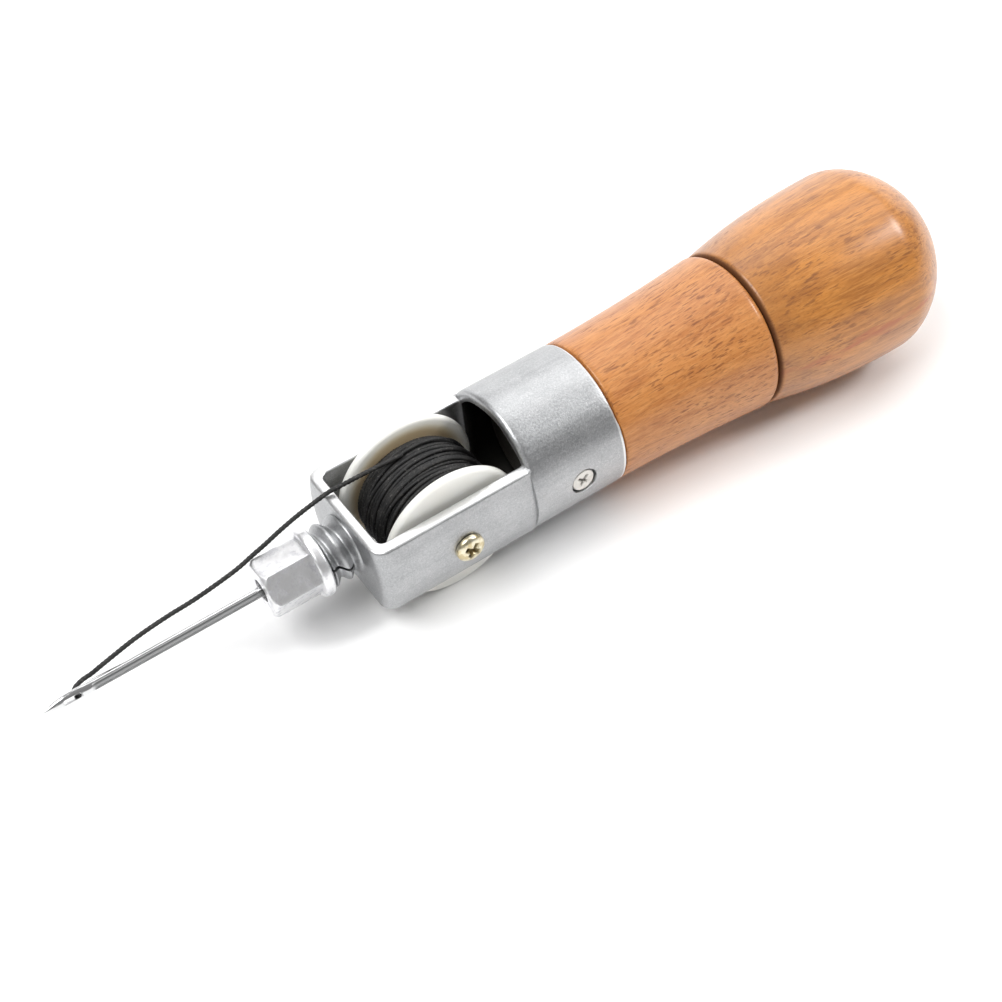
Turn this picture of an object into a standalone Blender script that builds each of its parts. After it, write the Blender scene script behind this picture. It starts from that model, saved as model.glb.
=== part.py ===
"""Lock-stitch sewing awl: a cast metal bobbin frame with a screw chuck, on a hollow turned wooden handle.

Lengths are in metres.  The tool's axis is X: the needle points to -X and the handle's butt to +X.
The open window of the bobbin frame faces +Z and -Z, and the bobbin turns on a screw along Y.
The origin is on the axis, half way between the needle's tip and the butt.
"""

import math

import bmesh
import bpy
from mathutils import Matrix, Vector

MM = 0.001
GAP = 0.3 * MM                      # room kept between pieces that touch on the real tool

# ---------------------------------------------------------------- lengths along the axis
TOTAL_LENGTH = 178.9 * MM
NEEDLE_REACH = 39.1 * MM            # needle outside the chuck nut
NUT_LENGTH = 10.7 * MM
STUB_SHOWING = 5.3 * MM             # chuck thread between nut and frame
FRAME_LENGTH = 29.45 * MM           # front wall to ferrule
FERRULE_LENGTH = 18.1 * MM
GRIP_LENGTH = 32.45 * MM

TIP_X = -TOTAL_LENGTH / 2
BUTT_X = TOTAL_LENGTH / 2
NUT_FRONT_X = TIP_X + NEEDLE_REACH
NUT_REAR_X = NUT_FRONT_X + NUT_LENGTH
FRAME_FRONT_X = NUT_REAR_X + STUB_SHOWING
FERRULE_FRONT_X = FRAME_FRONT_X + FRAME_LENGTH
FERRULE_REAR_X = FERRULE_FRONT_X + FERRULE_LENGTH
CAP_SEAM_X = FERRULE_REAR_X + GRIP_LENGTH

# ---------------------------------------------------------------- bobbin frame and ferrule
FERRULE_R = 13.25 * MM
FERRULE_BORE_R = 11.2 * MM
FRAME_HALF_HEIGHT = 7.3 * MM        # the flats of the frame are at z = + and - this
FRAME_HALF_WIDTH = 12.9 * MM        # at mid height, where the sides bulge most
RIM_HALF_WIDTH = 11.35 * MM         # at the flats
FRAME_WALL = 1.9 * MM
FRAME_CORNER_R = 3.0 * MM
WINDOW_CORNER_R = 1.4 * MM
RIM_CHAMFER = 0.3 * MM
WINDOW_HALF_WIDTH = RIM_HALF_WIDTH - FRAME_WALL - 0.1 * MM
WINDOW_FRONT_X = FRAME_FRONT_X + FRAME_WALL
FRAME_TONGUE = 1.5 * MM             # the side walls run this far into the ferrule

# ---------------------------------------------------------------- chuck
THREAD_CREST_R = 5.45 * MM
THREAD_ROOT_R = 4.45 * MM
THREAD_PITCH = 2.6 * MM
CHUCK_CORE_R = 3.25 * MM
CHUCK_FRONT_X = NUT_FRONT_X + 1.2 * MM
NEEDLE_BORE_R = 1.25 * MM
NEEDLE_BORE_END_X = FRAME_FRONT_X - 1.9 * MM
SLIT_WIDTH = 0.5 * MM
SLIT_TILT = math.radians(20.0)
SLIT_END_X = FRAME_FRONT_X - 2.1 * MM
NUT_FLANGE_R = 6.15 * MM
NUT_FLANGE_LENGTH = 2.0 * MM
NUT_ACROSS_FLATS = 9.3 * MM
NUT_BORE_R = 3.6 * MM
NUT_MOUTH_R = 2.1 * MM
NUT_TURN = math.radians(6.5)        # how far a corner of the hexagon is turned from -Y towards +Z

# ---------------------------------------------------------------- needle
NEEDLE_R = 0.95 * MM
NEEDLE_ROLL = math.radians(75.0)    # the eye looks towards -Y and a little up
NEEDLE_REAR_X = NEEDLE_BORE_END_X - GAP
EYE_HALF_WIDTH = 0.5 * MM
EYE_NEAR_TIP = 3.7 * MM             # ends of the eye, from the tip
EYE_FAR_TIP = 6.9 * MM

# ---------------------------------------------------------------- bobbin and its axle
AXLE_X = FRAME_FRONT_X + 15.85 * MM
AXLE_R = 1.65 * MM
AXLE_HOLE_R = AXLE_R + GAP
BOBBIN_R = 12.85 * MM
BOBBIN_HALF_GAP = 6.5 * MM          # inside faces of the flanges
BOBBIN_Y = -0.4 * MM
BOBBIN_Z = -0.8 * MM                # the bobbin hangs on its axle, which is thinner than its hole
BOBBIN_HOLE_R = 2.6 * MM
FLANGE_THICKNESS = 1.6 * MM
HUB_R = 3.9 * MM
WINDING_R = 10.0 * MM
AXLE_HEAD_R = 2.6 * MM
AXLE_HEAD_HEIGHT = 1.55 * MM
AXLE_SEAT_Y = -FRAME_HALF_WIDTH + 0.3 * MM

# ---------------------------------------------------------------- ferrule screw
FERRULE_SCREW_X = FERRULE_FRONT_X + 9.45 * MM
SCREW_HEAD_R = 2.15 * MM
SCREW_SEAT_R = 2.5 * MM
SCREW_SEAT_Y = -FERRULE_R + 1.25 * MM
SCREW_SHANK_R = 1.1 * MM
SCREW_HOLE_R = SCREW_SHANK_R + GAP
SCREW_END_Y = -6.6 * MM

# ---------------------------------------------------------------- handle
GRIP_FRONT_R = 13.2 * MM
GRIP_REAR_R = 15.05 * MM
TENON_R = FERRULE_BORE_R - GAP
TENON_FRONT_X = FERRULE_FRONT_X + 6.0 * MM
STORE_R = 8.0 * MM
STORE_FRONT_X = FERRULE_REAR_X - 3.4 * MM
CAP_FRONT_R = 14.7 * MM
CAP_MAX_R = 17.85 * MM
CAP_MAX_X = BUTT_X - 14.6 * MM
CAP_STORE_END_X = CAP_SEAM_X + 29.0 * MM
SPIGOT_R = 9.5 * MM
SPIGOT_LENGTH = 8.6 * MM
SPIGOT_PITCH = 1.9 * MM

# ---------------------------------------------------------------- what the handle stores
WRENCH_THICKNESS = 1.6 * MM
WRENCH_LENGTH = 48.0 * MM
WRENCH_HEAD_HALF_WIDTH = 6.7 * MM
WRENCH_HEAD_LENGTH = 17.0 * MM
WRENCH_STRIP_HALF_WIDTH = 2.8 * MM
WRENCH_EYE_HALF_WIDTH = NUT_ACROSS_FLATS / 2 + 0.1 * MM
WRENCH_EYE_LENGTH = 12.4 * MM
WRENCH_FRONT_X = STORE_FRONT_X + 3.0 * MM
WRENCH_Z = -2.9 * MM
SPARE_NEEDLE_Z = -6.2 * MM
SPARE_NEEDLE_Y = 1.7 * MM
SPARE_NEEDLE_REAR_X = STORE_FRONT_X + 0.8 * MM

# ---------------------------------------------------------------- thread
THREAD_R = 0.425 * MM
# From the top of the winding, over the front rim, past the nut and into the eye from behind.
THREAD_ROUTE_MM = (
    (-20.2, 2.5, 10.05), (-26.0, 3.5, 9.25), (-31.2, 4.4, 8.35), (-33.6, 4.7, 8.02),
    (-39.2, 4.3, 7.25), (-43.3, 3.95, 6.35), (-46.4, 3.75, 5.35), (-48.9, 3.60, 4.65),
    (-51.6, 3.35, 3.95), (-54.5, 3.05, 3.60), (-60.3, 2.65, 3.10), (-65.8, 2.2, 3.20),
    (-71.5, 1.8, 2.80), (-77.2, 1.7, 1.35), (-79.6, 1.9, 0.35), (-81.4, 2.1, -0.2),
    (-82.75, 1.8, -0.5), (-83.35, 1.0, -0.27), (-83.4, 0.2, -0.05),
)
THREAD_POINTS = 64

ROUND_STEPS = 48


# ---------------------------------------------------------------- tools
def material(name, colour, roughness, metallic):
    made = bpy.data.materials.get(name) or bpy.data.materials.new(name)
    made.use_nodes = True
    shader = made.node_tree.nodes["Principled BSDF"]
    shader.inputs["Base Color"].default_value = (*colour, 1.0)
    shader.inputs["Roughness"].default_value = roughness
    shader.inputs["Metallic"].default_value = metallic
    made.diffuse_color = (*colour, 1.0)
    return made


def finish(name, bm, look, sharp_degrees=35.0):
    """Turns a bmesh into a smooth-shaded object with outward faces."""
    bmesh.ops.remove_doubles(bm, verts=bm.verts, dist=1e-7)
    bmesh.ops.dissolve_degenerate(bm, edges=bm.edges, dist=1e-7)
    bmesh.ops.recalc_face_normals(bm, faces=bm.faces)
    mesh = bpy.data.meshes.new(name)
    bm.to_mesh(mesh)
    bm.free()
    mesh.shade_smooth()
    mesh.set_sharp_from_angle(angle=math.radians(sharp_degrees))
    made = bpy.data.objects.new(name, mesh)
    bpy.context.collection.objects.link(made)
    if look is not None:
        mesh.materials.append(look)
    return made


def as_cutter(cutter):
    cutter.hide_render = True
    cutter.display_type = "WIRE"
    return cutter


def boolean(target, other, operation):
    """Adds a Boolean modifier; the other object becomes a hidden helper."""
    step = target.modifiers.new(f"{operation.lower()} {other.name}", "BOOLEAN")
    step.operation = operation
    step.solver = "EXACT"
    step.object = as_cutter(other)
    return step


def turned(name, outline, look, steps=ROUND_STEPS, closed=False, sharp_degrees=35.0):
    """Spins an outline of (along, radius) points about X.  A closed outline makes a ring or a tube."""
    bm = bmesh.new()
    verts = [bm.verts.new((along, 0.0, radius)) for along, radius in outline]
    pairs = list(zip(verts, verts[1:]))
    if closed:
        pairs.append((verts[-1], verts[0]))
    edges = [bm.edges.new(pair) for pair in pairs]
    bmesh.ops.spin(
        bm, geom=verts + edges, axis=(1, 0, 0), cent=(0, 0, 0),
        angle=math.tau, steps=steps, use_merge=True,
    )
    return finish(name, bm, look, sharp_degrees)


def loft(name, outlines, look, ring=False, sharp_degrees=35.0):
    """Skins a stack of outlines that have equal numbers of points.  A ring joins the last to the first."""
    bm = bmesh.new()
    loops = [[bm.verts.new(point) for point in outline] for outline in outlines]
    count = len(loops[0])
    stack = list(zip(loops, loops[1:]))
    if ring:
        stack.append((loops[-1], loops[0]))
    for lower, upper in stack:
        for i in range(count):
            j = (i + 1) % count
            bm.faces.new((lower[i], lower[j], upper[j], upper[i]))
    if not ring:
        bm.faces.new(loops[0])
        bm.faces.new(loops[-1])
    return finish(name, bm, look, sharp_degrees)


def arc(centre, radius, start, end, steps):
    """Points on an arc, angles in degrees, in whatever plane the two coordinates stand for."""
    angles = [math.radians(start + (end - start) * i / steps) for i in range(steps + 1)]
    return [(centre[0] + radius * math.cos(a), centre[1] + radius * math.sin(a)) for a in angles]


def ease(t):
    t = min(max(t, 0.0), 1.0)
    return t * t * (3.0 - 2.0 * t)


def place_along_y(made, x, y, z=0.0):
    """Stands an object that was turned about X on the line parallel to Y here, its +X end to +Y."""
    made.location = (x, y, z)
    made.rotation_euler = (0.0, 0.0, math.pi / 2)
    return made


# ---------------------------------------------------------------- finishes
CAST_METAL = ("cast_metal", (0.56, 0.56, 0.57), 0.42, 1.0)
BRIGHT_METAL = ("bright_metal", (0.74, 0.74, 0.75), 0.25, 1.0)
NEEDLE_STEEL = ("needle_steel", (0.66, 0.66, 0.67), 0.18, 1.0)
BRASS = ("brass", (0.72, 0.58, 0.34), 0.30, 1.0)
GRIP_WOOD = ("grip_wood", (0.62, 0.32, 0.12), 0.40, 0.0)
CAP_WOOD = ("cap_wood", (0.53, 0.27, 0.09), 0.36, 0.0)
PLASTIC = ("bobbin_plastic", (0.86, 0.83, 0.76), 0.35, 0.0)
WAXED_THREAD = ("waxed_thread", (0.02, 0.02, 0.02), 0.45, 0.0)
SPRING_STEEL = ("wrench_steel", (0.72, 0.70, 0.66), 0.32, 1.0)


# ---------------------------------------------------------------- the casting
def side_half_width(z):
    """Half width of the frame at height z: each side bulges as a shallow arc."""
    bulge = FRAME_HALF_WIDTH - RIM_HALF_WIDTH
    radius = (FRAME_HALF_HEIGHT**2 + bulge**2) / (2 * bulge)
    return FRAME_HALF_WIDTH - radius + math.sqrt(radius**2 - z**2)


def plan_outline(front_x, rear_x, half_width, corner_r, z):
    """A plan view that is round at its two front corners and square at the rear."""
    front_left = arc((front_x + corner_r, -half_width + corner_r), corner_r, 270, 180, 6)
    front_right = arc((front_x + corner_r, half_width - corner_r), corner_r, 180, 90, 6)
    corners = [(rear_x, -half_width), *front_left, *front_right, (rear_x, half_width)]
    return [(x, y, z) for x, y in corners]


def frame_shell():
    rear_x = FERRULE_FRONT_X + FRAME_TONGUE
    heights = [-1.0, -0.7, -0.35, 0.0, 0.35, 0.7, 1.0]
    flat = FRAME_HALF_HEIGHT - RIM_CHAMFER
    outlines = [
        plan_outline(FRAME_FRONT_X, rear_x, side_half_width(flat * h), FRAME_CORNER_R, flat * h)
        for h in heights
    ]
    for sign, place in ((-1, 0), (1, len(outlines) + 1)):
        rim = plan_outline(
            FRAME_FRONT_X + RIM_CHAMFER, rear_x, RIM_HALF_WIDTH - RIM_CHAMFER,
            FRAME_CORNER_R - RIM_CHAMFER, sign * FRAME_HALF_HEIGHT,
        )
        outlines.insert(place, rim)
    return loft("frame_casting", outlines, material(*CAST_METAL))


def window_cutter():
    """The opening, flared a little where it meets the flats."""
    rear_x = FERRULE_FRONT_X + FRAME_TONGUE + 1 * MM
    flat = FRAME_HALF_HEIGHT
    beyond = 2 * MM
    levels = [
        (-flat - beyond, RIM_CHAMFER + beyond), (-flat + RIM_CHAMFER, 0.0),
        (flat - RIM_CHAMFER, 0.0), (flat + beyond, RIM_CHAMFER + beyond),
    ]
    outlines = [
        plan_outline(WINDOW_FRONT_X - flare, rear_x, WINDOW_HALF_WIDTH + flare,
                     WINDOW_CORNER_R + flare, z)
        for z, flare in levels
    ]
    return loft("window_cutter", outlines, None)


def ferrule_tube():
    chamfer = 0.7 * MM
    back = 0.35 * MM
    outline = [
        (FERRULE_FRONT_X, FERRULE_BORE_R + 0.25 * MM),
        (FERRULE_FRONT_X, FERRULE_R - chamfer),
        (FERRULE_FRONT_X + chamfer * 0.35, FERRULE_R - chamfer * 0.35),
        (FERRULE_FRONT_X + chamfer, FERRULE_R),
        (FERRULE_REAR_X - back, FERRULE_R),
        (FERRULE_REAR_X, FERRULE_R - back),
        (FERRULE_REAR_X, FERRULE_BORE_R),
        (FERRULE_FRONT_X + 0.25 * MM, FERRULE_BORE_R),
    ]
    return turned("ferrule_tube", outline, None, steps=56, closed=True)


def chuck_stub():
    """The split stub that grips the needle: a coarse helical thread, then a plain nose inside the nut."""
    thread_end_x = NUT_REAR_X + 0.1 * MM
    buried_x = FRAME_FRONT_X + 1.0 * MM
    steps = 28

    def radius(x, angle):
        if x > FRAME_FRONT_X:
            return THREAD_ROOT_R + 0.3 * MM
        if x < thread_end_x:
            nose = ease((thread_end_x - x) / (1.3 * MM))
            return THREAD_ROOT_R - 0.1 * MM + (CHUCK_CORE_R - THREAD_ROOT_R + 0.1 * MM) * nose
        phase = (FRAME_FRONT_X - x) / THREAD_PITCH - angle / math.tau + 0.62
        ridge = (0.5 - 0.5 * math.cos(math.tau * phase)) ** 0.8
        root = 0.4 * MM * ease(1.0 - (FRAME_FRONT_X - x) / (0.9 * MM))
        fade = ease((x - thread_end_x) / (0.5 * MM))
        return THREAD_ROOT_R - 0.1 * MM * (1 - fade) + root + (THREAD_CREST_R - THREAD_ROOT_R) * ridge * fade

    thread_span = FRAME_FRONT_X - thread_end_x
    stations = [buried_x] + [FRAME_FRONT_X - thread_span * i / 12 for i in range(13)]
    stations += [thread_end_x - d * MM for d in (0.45, 0.9, 1.3)]
    stations += [CHUCK_FRONT_X + 0.4 * MM, CHUCK_FRONT_X]
    outlines = []
    for x in stations:
        tip = 0.35 * MM if x == CHUCK_FRONT_X else 0.0
        turns = [math.tau * i / steps for i in range(steps)]
        outlines.append([
            (x, -(radius(x, a) - tip) * math.cos(a), (radius(x, a) - tip) * math.sin(a)) for a in turns
        ])
    return loft("chuck_stub", outlines, None, sharp_degrees=60)


def rod_cutter(name, start_x, end_x, radius, steps=24):
    outline = [(start_x, 0.0), (start_x, radius), (end_x, radius), (end_x, 0.0)]
    return turned(name, outline, None, steps=steps)


def rod_along_y(name, x, start_y, end_y, radius, steps=32):
    return place_along_y(rod_cutter(name, start_y, end_y, radius, steps), x, 0.0)


def box(name, low, high):
    bm = bmesh.new()
    bmesh.ops.create_cube(bm, size=1.0)
    size = Vector(high) - Vector(low)
    middle = (Vector(high) + Vector(low)) / 2
    placed = Matrix.Translation(middle) @ Matrix.Diagonal((*size, 1.0))
    bmesh.ops.transform(bm, matrix=placed, verts=bm.verts)
    return finish(name, bm, None)


def casting():
    frame = frame_shell()
    boolean(frame, window_cutter(), "DIFFERENCE")
    boolean(frame, ferrule_tube(), "UNION")
    boolean(frame, chuck_stub(), "UNION")
    bore = rod_cutter("needle_bore", CHUCK_FRONT_X - 1 * MM, NEEDLE_BORE_END_X, NEEDLE_BORE_R)
    boolean(frame, bore, "DIFFERENCE")
    slit = box(
        "chuck_slit",
        (CHUCK_FRONT_X - 1 * MM, -8 * MM, -SLIT_WIDTH / 2), (SLIT_END_X, 8 * MM, SLIT_WIDTH / 2),
    )
    slit.rotation_euler = (-SLIT_TILT, 0.0, 0.0)
    boolean(frame, slit, "DIFFERENCE")
    beyond = FRAME_HALF_WIDTH + 2 * MM
    boolean(frame, rod_along_y("axle_hole", AXLE_X, -beyond, beyond, AXLE_HOLE_R), "DIFFERENCE")
    axle_seat = rod_along_y("axle_seat", AXLE_X, -beyond, AXLE_SEAT_Y, AXLE_HEAD_R + 0.45 * MM)
    boolean(frame, axle_seat, "DIFFERENCE")
    screw_seat = rod_along_y("screw_seat", FERRULE_SCREW_X, -beyond, SCREW_SEAT_Y, SCREW_SEAT_R)
    boolean(frame, screw_seat, "DIFFERENCE")
    screw_hole = rod_along_y(
        "ferrule_screw_hole", FERRULE_SCREW_X, -beyond, -FERRULE_BORE_R + 1 * MM, SCREW_HOLE_R, 24
    )
    boolean(frame, screw_hole, "DIFFERENCE")
    return frame


# ---------------------------------------------------------------- the chuck nut
def hexagon_radius(angle):
    """Distance from the axis to the side of the hexagon, its corners a little worn."""
    sector = math.tau / 6
    off = (angle - NUT_TURN + sector / 2) % sector - sector / 2
    flat = NUT_ACROSS_FLATS / 2 / math.cos(sector / 2 - abs(off))
    corner = NUT_ACROSS_FLATS / 2 / math.cos(sector / 2)
    return min(flat, corner - 0.12 * MM)


def chuck_nut():
    steps = 48
    flange_front_x = NUT_REAR_X - NUT_FLANGE_LENGTH
    corner = NUT_ACROSS_FLATS / 2 / math.cos(math.tau / 12)
    # (x, radius of the round envelope, hexagonal or not), from the rear face forwards along the outside
    outside = [
        (NUT_REAR_X, NUT_FLANGE_R - 0.7 * MM, False),
        (NUT_REAR_X - 0.2 * MM, NUT_FLANGE_R - 0.2 * MM, False),
        (NUT_REAR_X - 0.7 * MM, NUT_FLANGE_R, False),
        (flange_front_x + 0.5 * MM, NUT_FLANGE_R, False),
        (flange_front_x + 0.1 * MM, NUT_FLANGE_R - 0.25 * MM, False),
        (flange_front_x, NUT_FLANGE_R - 0.5 * MM, False),
        (flange_front_x - 0.05 * MM, corner + 0.1 * MM, True),
        (NUT_FRONT_X + 1.2 * MM, corner + 0.1 * MM, True),
        (NUT_FRONT_X + 0.6 * MM, corner - 0.12 * MM, True),
        (NUT_FRONT_X + 0.2 * MM, corner - 0.35 * MM, True),
        (NUT_FRONT_X, corner - 0.75 * MM, True),
    ]
    inside = [
        (NUT_FRONT_X, NUT_MOUTH_R + 0.15 * MM), (NUT_FRONT_X + 0.15 * MM, NUT_MOUTH_R),
        (NUT_FRONT_X + 0.8 * MM, NUT_MOUTH_R), (NUT_FRONT_X + 0.9 * MM, NUT_BORE_R),
        (flange_front_x, NUT_BORE_R), (NUT_REAR_X - 0.5 * MM, 4.75 * MM), (NUT_REAR_X, 4.85 * MM),
    ]
    turns = [math.tau * i / steps + NUT_TURN for i in range(steps)]

    def outline(x, radii):
        return [(x, -r * math.cos(a), r * math.sin(a)) for a, r in zip(turns, radii)]

    outlines = []
    for x, envelope, is_hexagon in outside:
        radii = [min(envelope, hexagon_radius(a)) if is_hexagon else envelope for a in turns]
        outlines.append(outline(x, radii))
    for x, radius in inside:
        outlines.append(outline(x, [radius] * steps))
    return loft("chuck_nut", outlines, material(*BRIGHT_METAL), ring=True, sharp_degrees=24)


# ---------------------------------------------------------------- needles
def needle_body(name, tip_x, rear_x, radius, butt_radius, look):
    """A sewing needle with a spear point and a flattened eye, its eye along local Z."""
    # (distance from the tip, half width across the eye, half thickness along the eye), for radius 1
    shape = [
        (0.0, 0.03, 0.03), (0.7, 0.22, 0.20), (1.6, 0.52, 0.42), (2.8, 0.88, 0.62), (4.0, 1.10, 0.74),
        (5.2, 1.17, 0.78), (6.6, 1.14, 0.80), (8.0, 1.05, 0.88), (9.6, 1.0, 1.0),
    ]
    steps = 20
    stations = [(tip_x + d * MM, w * radius, t * radius) for d, w, t in shape]
    step_x = rear_x - 16 * MM
    stations += [(step_x - 0.6 * MM, radius, radius), (step_x, butt_radius, butt_radius)]
    rim_radius = butt_radius - 0.25 * MM
    stations += [(rear_x - 0.3 * MM, butt_radius, butt_radius), (rear_x, rim_radius, rim_radius)]
    turns = [math.tau * i / steps for i in range(steps)]
    outlines = [[(x, w * math.cos(a), t * math.sin(a)) for a in turns] for x, w, t in stations]
    made = loft(name, outlines, material(*look), sharp_degrees=50)
    middle_x = tip_x + (EYE_NEAR_TIP + EYE_FAR_TIP) / 2
    reach = (EYE_FAR_TIP - EYE_NEAR_TIP) / 2 - EYE_HALF_WIDTH
    ends = arc((middle_x + reach, 0.0), EYE_HALF_WIDTH, -90, 90, 6)
    ends += arc((middle_x - reach, 0.0), EYE_HALF_WIDTH, 90, 270, 6)
    eye = loft(name + "_eye", [[(x, y, z) for x, y in ends] for z in (-3 * MM, 3 * MM)], None)
    return made, eye


def working_needle():
    made, eye = needle_body("needle", TIP_X, NEEDLE_REAR_X, NEEDLE_R, NEEDLE_R, NEEDLE_STEEL)
    boolean(made, eye, "DIFFERENCE")
    for piece in (made, eye):
        piece.rotation_euler = (NEEDLE_ROLL, 0.0, 0.0)
    return made


def spare_needle(name, y, length, radius, butt_radius):
    """A spare lies in the bottom of the handle, its butt towards the ferrule."""
    made, eye = needle_body(name, -length, 0.0, radius, butt_radius, NEEDLE_STEEL)
    boolean(made, eye, "DIFFERENCE")
    for piece in (made, eye):
        piece.rotation_euler = (0.0, 0.0, math.pi)
        piece.location = (SPARE_NEEDLE_REAR_X, y, SPARE_NEEDLE_Z)
    return made


# ---------------------------------------------------------------- bobbin, winding and screws
def bobbin():
    inner = BOBBIN_HALF_GAP
    outer = BOBBIN_HALF_GAP + FLANGE_THICKNESS
    lip = 0.45 * MM

    def flange(sign):
        face = [(sign * inner, HUB_R), (sign * inner, BOBBIN_R - lip)]
        rim = [
            (sign * (inner + 0.15 * MM), BOBBIN_R - 0.12 * MM), (sign * (inner + lip), BOBBIN_R),
            (sign * (outer - lip), BOBBIN_R), (sign * (outer - 0.15 * MM), BOBBIN_R - 0.12 * MM),
        ]
        back = [(sign * outer, BOBBIN_R - lip), (sign * outer, BOBBIN_HOLE_R)]
        return face + rim + back

    outline = flange(-1)[::-1] + flange(1)
    made = turned("bobbin", outline, material(*PLASTIC), closed=True)
    return place_along_y(made, AXLE_X, BOBBIN_Y, BOBBIN_Z)


def thread_winding():
    """The wound thread as one turned ring, slightly crowned between the flanges."""
    half = BOBBIN_HALF_GAP - GAP
    inner = HUB_R + GAP
    crown = [(-half, -0.5), (-0.85 * half, -0.1), (-0.4 * half, 0.0), (0.4 * half, 0.0),
             (0.85 * half, -0.1), (half, -0.5)]
    outline = [(-half, inner)] + [(y, WINDING_R + drop * MM) for y, drop in crown] + [(half, inner)]
    made = turned("thread_winding", outline, material(*WAXED_THREAD), steps=36, closed=True)
    return place_along_y(made, AXLE_X, BOBBIN_Y, BOBBIN_Z)


def cross_recess(name, x, head_y, arm, width, depth):
    """A tapered cross for a screwdriver, cut into a head that faces -Y."""
    long_half, half = arm / 2, width / 2
    quarter = [(long_half, -half), (long_half, half), (half, half)]
    cross = list(quarter)
    for _ in range(3):
        quarter = [(-b, a) for a, b in quarter]
        cross += quarter
    levels = [(head_y - 1 * MM, 1.0), (head_y, 1.0), (head_y + depth, 0.5)]
    outlines = [[(a * scale, y, b * scale) for a, b in cross] for y, scale in levels]
    made = loft(name, outlines, None)
    made.location = (x, 0.0, 0.0)
    made.rotation_euler = (0.0, math.radians(38.0), 0.0)
    return made


def axle_screw():
    """A pan-head screw that is also the bobbin's axle.  It ends inside the far side of the frame."""
    seat = AXLE_SEAT_Y - GAP
    top = seat - AXLE_HEAD_HEIGHT
    end = FRAME_HALF_WIDTH - 0.5 * MM
    outline = [(top, 0.0), (top + 0.03 * MM, 0.9 * MM), (top + 0.2 * MM, 1.7 * MM)]
    outline += [(top + 0.55 * MM, 2.3 * MM), (top + 1.0 * MM, AXLE_HEAD_R), (seat - 0.1 * MM, AXLE_HEAD_R)]
    outline += [(seat, AXLE_HEAD_R - 0.1 * MM), (seat, AXLE_R), (end - 0.4 * MM, AXLE_R)]
    outline += [(end, AXLE_R - 0.4 * MM), (end, 0.0)]
    made = turned("axle_screw", outline, material(*BRASS), steps=28)
    place_along_y(made, AXLE_X, 0.0)
    boolean(made, cross_recess("axle_recess", AXLE_X, top, 3.1 * MM, 0.75 * MM, 1.1 * MM), "DIFFERENCE")
    return made


def ferrule_screw():
    """A small cheese-head screw, sunk in the ferrule and driven into the grip's tenon."""
    seat = SCREW_SEAT_Y - GAP
    top = -FERRULE_R + 0.3 * MM
    outline = [(top, 0.0), (top, SCREW_HEAD_R - 0.25 * MM), (top + 0.15 * MM, SCREW_HEAD_R)]
    outline += [(seat, SCREW_HEAD_R), (seat, SCREW_SHANK_R), (SCREW_END_Y - 1.6 * MM, SCREW_SHANK_R)]
    outline += [(SCREW_END_Y, 0.15 * MM), (SCREW_END_Y, 0.0)]
    made = turned("ferrule_screw", outline, material(*BRIGHT_METAL), steps=24)
    place_along_y(made, FERRULE_SCREW_X, 0.0)
    recess = cross_recess("ferrule_screw_recess", FERRULE_SCREW_X, top, 2.7 * MM, 0.65 * MM, 0.45 * MM)
    boolean(made, recess, "DIFFERENCE")
    return made


# ---------------------------------------------------------------- handle
def grip_radius(x):
    """The grip swells towards the cap, a little hollow near the ferrule."""
    t = (x - FERRULE_REAR_X) / GRIP_LENGTH
    middle = 13.45 * MM
    return GRIP_FRONT_R * (1 - t) ** 2 + 2 * middle * t * (1 - t) + GRIP_REAR_R * t * t


def handle_grip():
    front = FERRULE_REAR_X + GAP
    rear = CAP_SEAM_X
    body = [front + (rear - 1.3 * MM - front) * i / 7 for i in range(8)]
    edge = 1.3 * MM
    counterbore_x = rear - SPIGOT_LENGTH - GAP
    outline = [(TENON_FRONT_X, 0.0), (TENON_FRONT_X, TENON_R - 0.5 * MM)]
    outline += [(TENON_FRONT_X + 0.5 * MM, TENON_R), (front, TENON_R)]
    outline += [(front, GRIP_FRONT_R - 0.35 * MM), (front + 0.35 * MM, grip_radius(front))]
    outline += [(x, grip_radius(x)) for x in body[1:]]
    last = grip_radius(rear - edge)
    outline += [(rear - edge * (1 - math.sin(a)), last - edge * 0.8 * (1 - math.cos(a)))
                for a in (math.radians(d) for d in (35, 65, 90))]
    outline += [(rear, SPIGOT_R + GAP), (counterbore_x, SPIGOT_R + GAP), (counterbore_x, STORE_R)]
    outline += [(STORE_FRONT_X, STORE_R), (STORE_FRONT_X - 1.5 * MM, 0.0)]
    made = turned("handle_grip", outline, material(*GRIP_WOOD), sharp_degrees=40)
    pilot = rod_along_y(
        "pilot_hole", FERRULE_SCREW_X, -FERRULE_R, SCREW_END_Y + GAP, SCREW_HOLE_R, 24
    )
    boolean(made, pilot, "DIFFERENCE")
    return made


def cap_radius(x):
    """The cap swells to its widest, then closes in a blunt dome."""
    if x <= CAP_MAX_X:
        t = (CAP_MAX_X - x) / (CAP_MAX_X - CAP_SEAM_X)
        return CAP_MAX_R - (CAP_MAX_R - CAP_FRONT_R) * t**2.25
    t = min((x - CAP_MAX_X) / (BUTT_X - CAP_MAX_X), 1.0)
    return CAP_MAX_R * (1.0 - t**1.75) ** (1.0 / 1.75)


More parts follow.
